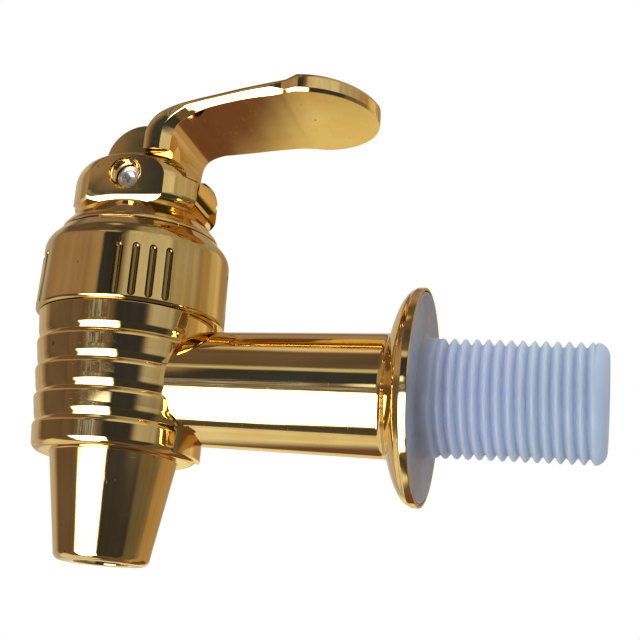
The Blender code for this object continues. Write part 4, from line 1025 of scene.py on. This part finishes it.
class TAP_OT_pivot_screw(bpy.types.Operator):
    """Build the socket-head screw through the yoke"""
    bl_idname = "tap.pivot_screw"
    bl_label = "Pivot screw"

    def execute(self, context):
        seat, head_r, shaft_r = 5.9, 1.7, 1.0
        face, end = seat + 1.2, seat - 14.0
        profile = eased([(0.0, face - 0.12), (1.15, face - 0.12, 0.05), (1.3, face, 0.1),
                         (head_r, face, 0.3), (head_r, seat, 0.05), (shaft_r, seat),
                         (shaft_r, end, 0.2), (0.0, end)])
        screw = make_piece("pivot_screw_dressed", turned(profile, 64))
        flats = 1.5 / math.sqrt(3.0)
        socket = extruded(arc((0.0, 0.0), flats, 0.0, 360.0, 6)[:-1], face - 0.95, face + 1.0, "Z")
        combine(screw, socket)
        screw.data.transform(Matrix.Rotation(math.radians(90.0), 4, "X"))
        screw.data.transform(Matrix.Translation(PIVOT * MM))
        soften(screw, 0.06, 2, 35.0)
        metal = bare_metal("nickel_plate", (0.80, 0.77, 0.78), 0.32, (1.0, 4.0, 1.0))
        dress(screw, "swivel", "nickel_screw", metal, "pivot_screw")
        return {"FINISHED"}


# Return spring

def spring_shape():
    """Coil of round wire whose end turns lie close together."""
    wire_r, mean_r, turns, sides = 0.45, 4.9, 6.0, 12
    low, high = SPRING_BOTTOM + wire_r, SPRING_TOP - wire_r
    end_rise = wire_r * 2.0 * 1.12 / (high - low)
    steps = int(turns * 36)
    sections = []
    for step in range(steps + 1):
        turn = turns * step / steps
        if turn < 1.0:
            rise = end_rise * turn
        elif turn > turns - 1.0:
            rise = 1.0 - end_rise * (turns - turn)
        else:
            rise = end_rise + (1.0 - 2.0 * end_rise) * (turn - 1.0) / (turns - 2.0)
        outward = Vector((math.cos(math.tau * turn), math.sin(math.tau * turn), 0.0))
        centre = outward * mean_r + Vector((0.0, 0.0, low + (high - low) * rise))
        sections.append([centre + outward * across + Vector((0.0, 0.0, along))
                         for across, along in arc((0.0, 0.0), wire_r, 0.0, 360.0, sides)[:-1]])
    return at_barrel(lofted(sections))


class TAP_OT_spring(bpy.types.Operator):
    """Build the return spring"""
    bl_idname = "tap.spring"
    bl_label = "Return spring"

    def execute(self, context):
        spring = make_piece("return_spring", spring_shape())
        shade_smooth(spring, 50.0)
        wire = bare_metal("spring_wire", (0.56, 0.55, 0.54), 0.3, (2.0, 2.0, 2.0))
        dress(spring, "valve", "spring_wire", wire, "spring")
        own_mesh(spring)
        return {"FINISHED"}


# Pieces that keep their CAD shape

class TAP_OT_inner_pieces(bpy.types.Operator):
    """Give the stem, nut, seals, washers and clips their finishes"""
    bl_idname = "tap.inner_pieces"
    bl_label = "Inner pieces"

    def execute(self, context):
        steel = bare_metal("turned_stainless", (0.60, 0.59, 0.58), 0.26, (1.0, 1.0, 6.0))
        nickel = bare_metal("nickel_nut", (0.62, 0.60, 0.60), 0.24, (1.0, 4.0, 1.0))
        brass = bare_metal("turned_brass", (0.76, 0.58, 0.28), 0.28, (1.0, 5.0, 1.0))
        silicone = soft_seal("silicone", (0.74, 0.74, 0.71), 0.55)
        rubber = soft_seal("black_rubber", (0.025, 0.025, 0.025), 0.62)
        white = moulded_plastic("white_plastic", (0.80, 0.80, 0.78))
        finishes = {
            "stem": steel, "lift_pin": steel, "retaining_clip": steel,
            "swivel_snap_ring": steel, "pivot_nut": nickel,
            "pivot_sleeve": brass, "seat_plug": silicone, "bonnet_gasket": silicone,
            "inlet_seal_ring": rubber, "stem_seal_ring": rubber,
            "spring_washer": white, "gland_washer": white,
        }
        for name, material in finishes.items():
            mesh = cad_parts[name].data
            mesh.materials.clear()
            mesh.materials.append(material)
        return {"FINISHED"}


# Stage: floor, room light and camera

# Patches of the room that the gloss mirrors: name, middle, half size and edge softness as
# azimuth and elevation in degrees (azimuth 0 is the front, + towards the flange), and light.
# Later patches lie over earlier ones.
ROOM_BASE = (0.15, 0.11, 0.09)
ROOM = (
    ("back_left_wall", (-144, 6), (38, 30), (9, 6), (0.55, 0.48, 0.40)),
    ("left_brown", (-70, 21), (34, 11), (9, 4), (0.40, 0.29, 0.21)),
    ("low_left_sheet", (-118, -54), (38, 28), (8, 7), (0.80, 0.77, 0.62)),
    ("back_right_wall", (146, 8), (42, 50), (10, 9), (0.44, 0.31, 0.16)),
    ("low_right_wall", (140, -34), (32, 22), (10, 8), (0.46, 0.30, 0.13)),
    ("upper_right", (100, 56), (84, 24), (14, 8), (0.44, 0.39, 0.30)),
    ("crown_back", (-146, 60), (28, 16), (8, 5), (0.36, 0.26, 0.20)),
    ("right_sheet", (36, 26), (30, 18), (5, 5), (0.66, 0.64, 0.56)),
    ("right_sheet_edge", (84, 26), (20, 18), (6, 6), (0.48, 0.43, 0.32)),
    ("right_glow", (137, 18), (13, 12), (6, 5), (0.74, 0.60, 0.34)),
    ("right_strip", (62, 0), (18, 9), (6, 4), (0.44, 0.42, 0.38)),
    ("right_shadow", (97, -1), (20, 9), (6, 4), (0.20, 0.17, 0.12)),
    ("right_low", (88, -30), (26, 22), (8, 6), (0.14, 0.12, 0.09)),
    ("front_dark", (21, -1), (20, 10), (5, 2.5), (0.035, 0.04, 0.055)),
    ("front_dark_low", (38, -32), (36, 23), (5, 4), (0.045, 0.045, 0.055)),
    ("front_dark_high", (-12.2, 19), (11.2, 12), (0.5, 2), (0.04, 0.045, 0.06)),
    ("pale_card", (-31.5, 19), (7.5, 9), (2.5, 3), (0.44, 0.33, 0.22)),
    ("crown_dark", (-6, 53), (17, 8), (7, 4), (0.08, 0.075, 0.085)),
    ("crown_streak", (-55, 71), (18, 4), (8, 3), (0.75, 0.65, 0.50)),
    ("thin_line", (-20, 32), (14, 3), (6, 2), (0.60, 0.60, 0.50)),
    ("under_dark", (0, -90), (180, 11), (1, 3), (0.07, 0.06, 0.05)),
    ("low_front_dark", (-61, -73.5), (25, 6.5), (3, 1.5), (0.08, 0.075, 0.07)),
    ("lever_brown", (173, -31.5), (28, 15.5), (6, 3), (0.17, 0.08, 0.05)),
    ("lever_gold", (-167, -15), (12, 10), (3, 2.3), (0.86, 0.75, 0.40)),
    ("window_glint", (-20, 1), (13, 7), (5, 3), (0.40, 0.46, 0.58)),
    ("lamp", (-11.5, 6), (2.4, 2.4), (0.8, 0.8), (1.6, 1.6, 1.6)),
    ("low_window", (-34, -58), (20, 9), (2.5, 2), (5.2, 5.2, 5.1)),
    ("window", (-19, -31), (26, 23), (3.5, 1.5), (5.6, 5.6, 5.6)),
)
MOTTLED = ("window_glint",)
FILL_LIGHT = (0.54, 0.55, 0.55, 1.0)


class Room(Nodes):
    """World nodes that give the light coming from each direction."""

    def __init__(self, world):
        world.node_tree.nodes.clear()
        super().__init__(world.node_tree, "Generated")
        split = self.node("ShaderNodeSeparateXYZ")
        self.link(self.place, split.inputs["Vector"])
        forward = self.math("MULTIPLY", split.outputs["Y"], -1.0)
        turn = self.math("ARCTAN2", split.outputs["X"], forward)
        self.azimuth = self.math("MULTIPLY", turn, 180.0 / math.pi)
        rise = self.math("ARCSINE", split.outputs["Z"])
        self.elevation = self.math("MULTIPLY", rise, 180.0 / math.pi)

    def fade(self, value, inside, outside):
        """One inside the edge, zero outside it."""
        return self.ranged(value, outside, inside, interpolation_type="SMOOTHSTEP")

    def patch(self, name, centre, half, soft):
        """Mask of one soft-edged patch of the room."""
        aside = self.math("SUBTRACT", self.azimuth, centre[0])
        aside = self.math("ABSOLUTE", self.math("WRAP", aside, 180.0, -180.0))
        above = self.math("ABSOLUTE", self.math("SUBTRACT", self.elevation, centre[1]))
        mask = self.math("MULTIPLY", self.fade(aside, half[0] - soft[0], half[0] + soft[0]),
                         self.fade(above, half[1] - soft[1], half[1] + soft[1]))
        if name in MOTTLED:
            grain = self.fade(self.noise(26.0, 2.0, (1.0, 1.0, 1.6)), 0.62, 0.46)
            mask = self.math("MULTIPLY", mask, grain)
        return mask

    def background(self, colour, strength=1.0):
        """Light of one colour or of the blended patches."""
        made = self.node("ShaderNodeBackground")
        self.feed(made.inputs["Color"], colour)
        self.feed(made.inputs["Strength"], strength)
        return made.outputs["Background"]

    def choice(self, factor, otherwise, chosen):
        """One light for the rays that the factor picks, another for the rest."""
        made = self.node("ShaderNodeMixShader")
        for socket, source in zip(made.inputs, (factor, otherwise, chosen)):
            self.link(source, socket)
        return made.outputs["Shader"]


def light_room(studio):
    """World: plain backdrop for the camera, and windows and dark cards for the gloss."""
    world = bpy.data.worlds.new("studio_room")
    bpy.context.scene.world = world
    world.use_nodes = True
    room = Room(world)
    colour = ROOM_BASE
    for name, centre, half, soft, light in ROOM:
        colour = room.mixed(room.patch(name, centre, half, soft), colour, light)
    streaks = room.noise(7.0, 2.0, (1.0, 1.0, 0.12))
    strength = room.math("ADD", room.math("MULTIPLY", streaks, 0.7), 0.65)

    gloss = room.background(colour, strength)
    plain = room.background((*studio.backdrop, 1.0))
    fill = room.background(FILL_LIGHT)
    path = room.node("ShaderNodeLightPath")
    seen = room.choice(path.outputs["Is Camera Ray"], fill, plain)
    light = room.choice(path.outputs["Is Glossy Ray"], seen, gloss)
    room.link(light, room.node("ShaderNodeOutputWorld").inputs["Surface"])


def add_soft_light(name, place, width, power):
    """Square area light that points at the origin and isn't mirrored in the plating."""
    data = bpy.data.lights.new(name, "AREA")
    data.energy = power
    data.size = width
    light = bpy.data.objects.new(name, data)
    bpy.context.scene.collection.objects.link(light)
    light.location = place
    light.rotation_euler = (-Vector(place)).to_track_quat("-Z", "Y").to_euler()
    light.visible_glossy = False


def add_camera():
    """Camera at the photograph's angle, its focal length and centre in the photo's pixels."""
    azimuth, elevation, roll = math.radians(13.96), math.radians(-14.69), math.radians(5.0)
    back = Vector((math.sin(azimuth) * math.cos(elevation),
                   -math.cos(azimuth) * math.cos(elevation), math.sin(elevation)))
    right = Vector((math.cos(azimuth), math.sin(azimuth), 0.0))
    up = back.cross(right)
    tilted_right = right * math.cos(roll) + up * math.sin(roll)
    tilted_up = up * math.cos(roll) - right * math.sin(roll)
    picture, focal, centre = 640.0, 1346.0, (316.2, 321.4)
    data = bpy.data.cameras.new("photo_view")
    data.sensor_width = 36.0
    data.lens = focal / picture * data.sensor_width
    data.shift_x = (picture / 2.0 - centre[0]) / picture
    data.shift_y = (centre[1] - picture / 2.0) / picture
    data.clip_start = 0.005
    camera = bpy.data.objects.new("photo_view", data)
    bpy.context.scene.collection.objects.link(camera)
    turn = Matrix((tilted_right, tilted_up, back)).transposed().to_4x4()
    turn.translation = Vector((27.56, -174.41, -36.94)) * MM
    camera.matrix_world = turn
    bpy.context.scene.camera = camera


class TAP_OT_stage(bpy.types.Operator):
    """Lay the pale floor, set the soft light and place the camera"""
    bl_idname = "tap.stage"
    bl_label = "Stage"

    def execute(self, context):
        studio = context.scene.tap_studio
        shape = bmesh.new()
        bmesh.ops.create_grid(shape, x_segments=1, y_segments=1, size=1500.0)
        bmesh.ops.translate(shape, vec=(0.0, 0.0, -studio.floor_drop / MM), verts=shape.verts)
        floor = make_piece("pale_floor", shape)
        pale = Finish("pale_floor")
        pale.put("Base Color", (0.86, 0.86, 0.86, 1.0))
        pale.put("Roughness", 0.7)
        floor.data.materials.append(pale.material)
        floor.visible_glossy = False
        context.scene.view_settings.view_transform = "Standard"
        light_room(studio)
        add_soft_light("window_light", (-0.20, -0.48, -0.22), 0.4, 3.0)
        add_soft_light("top_light", (0.1, 0.1, 0.6), 0.5, 2.0)
        add_camera()
        return {"FINISHED"}


class TAP_PT_sidebar(bpy.types.Panel):
    """Sizes, finishes and one button per piece"""
    bl_label = "Drinks dispenser tap"
    bl_idname = "TAP_PT_sidebar"
    bl_space_type = "VIEW_3D"
    bl_region_type = "UI"
    bl_category = "Tap"

    def draw(self, context):
        layout = self.layout
        scene = context.scene
        for group in (scene.tap_body, scene.tap_top, scene.tap_finish, scene.tap_studio):
            column = layout.column(align=True)
            for name in group.__annotations__:
                column.prop(group, name)
        for operator in OPERATORS:
            layout.operator(operator.bl_idname)


GROUPS = {"tap_body": TapBodySizes, "tap_top": TapTopSizes, "tap_finish": TapFinish,
          "tap_studio": TapStudio}
OPERATORS = (TAP_OT_stage, TAP_OT_body, TAP_OT_bonnet, TAP_OT_yoke, TAP_OT_lever,
             TAP_OT_threaded_tail, TAP_OT_pivot_screw, TAP_OT_spring, TAP_OT_inner_pieces)


def register():
    """Make the settings, buttons and panel known to Blender."""
    for name, group in GROUPS.items():
        bpy.utils.register_class(group)
        setattr(bpy.types.Scene, name, PointerProperty(type=group))
    for item in OPERATORS + (TAP_PT_sidebar,):
        bpy.utils.register_class(item)


def unregister():
    """Undo register, last things first."""
    for item in (TAP_PT_sidebar,) + OPERATORS[::-1]:
        bpy.utils.unregister_class(item)
    for name, group in reversed(list(GROUPS.items())):
        delattr(bpy.types.Scene, name)
        bpy.utils.unregister_class(group)


def main():
    """Build the stage and every piece."""
    register()
    for operator in OPERATORS:
        family, name = operator.bl_idname.split(".")
        result = getattr(getattr(bpy.ops, family), name)()
        if result != {"FINISHED"}:
            raise RuntimeError(operator.bl_label + " could not be built")


if __name__ == "__main__":
    main()
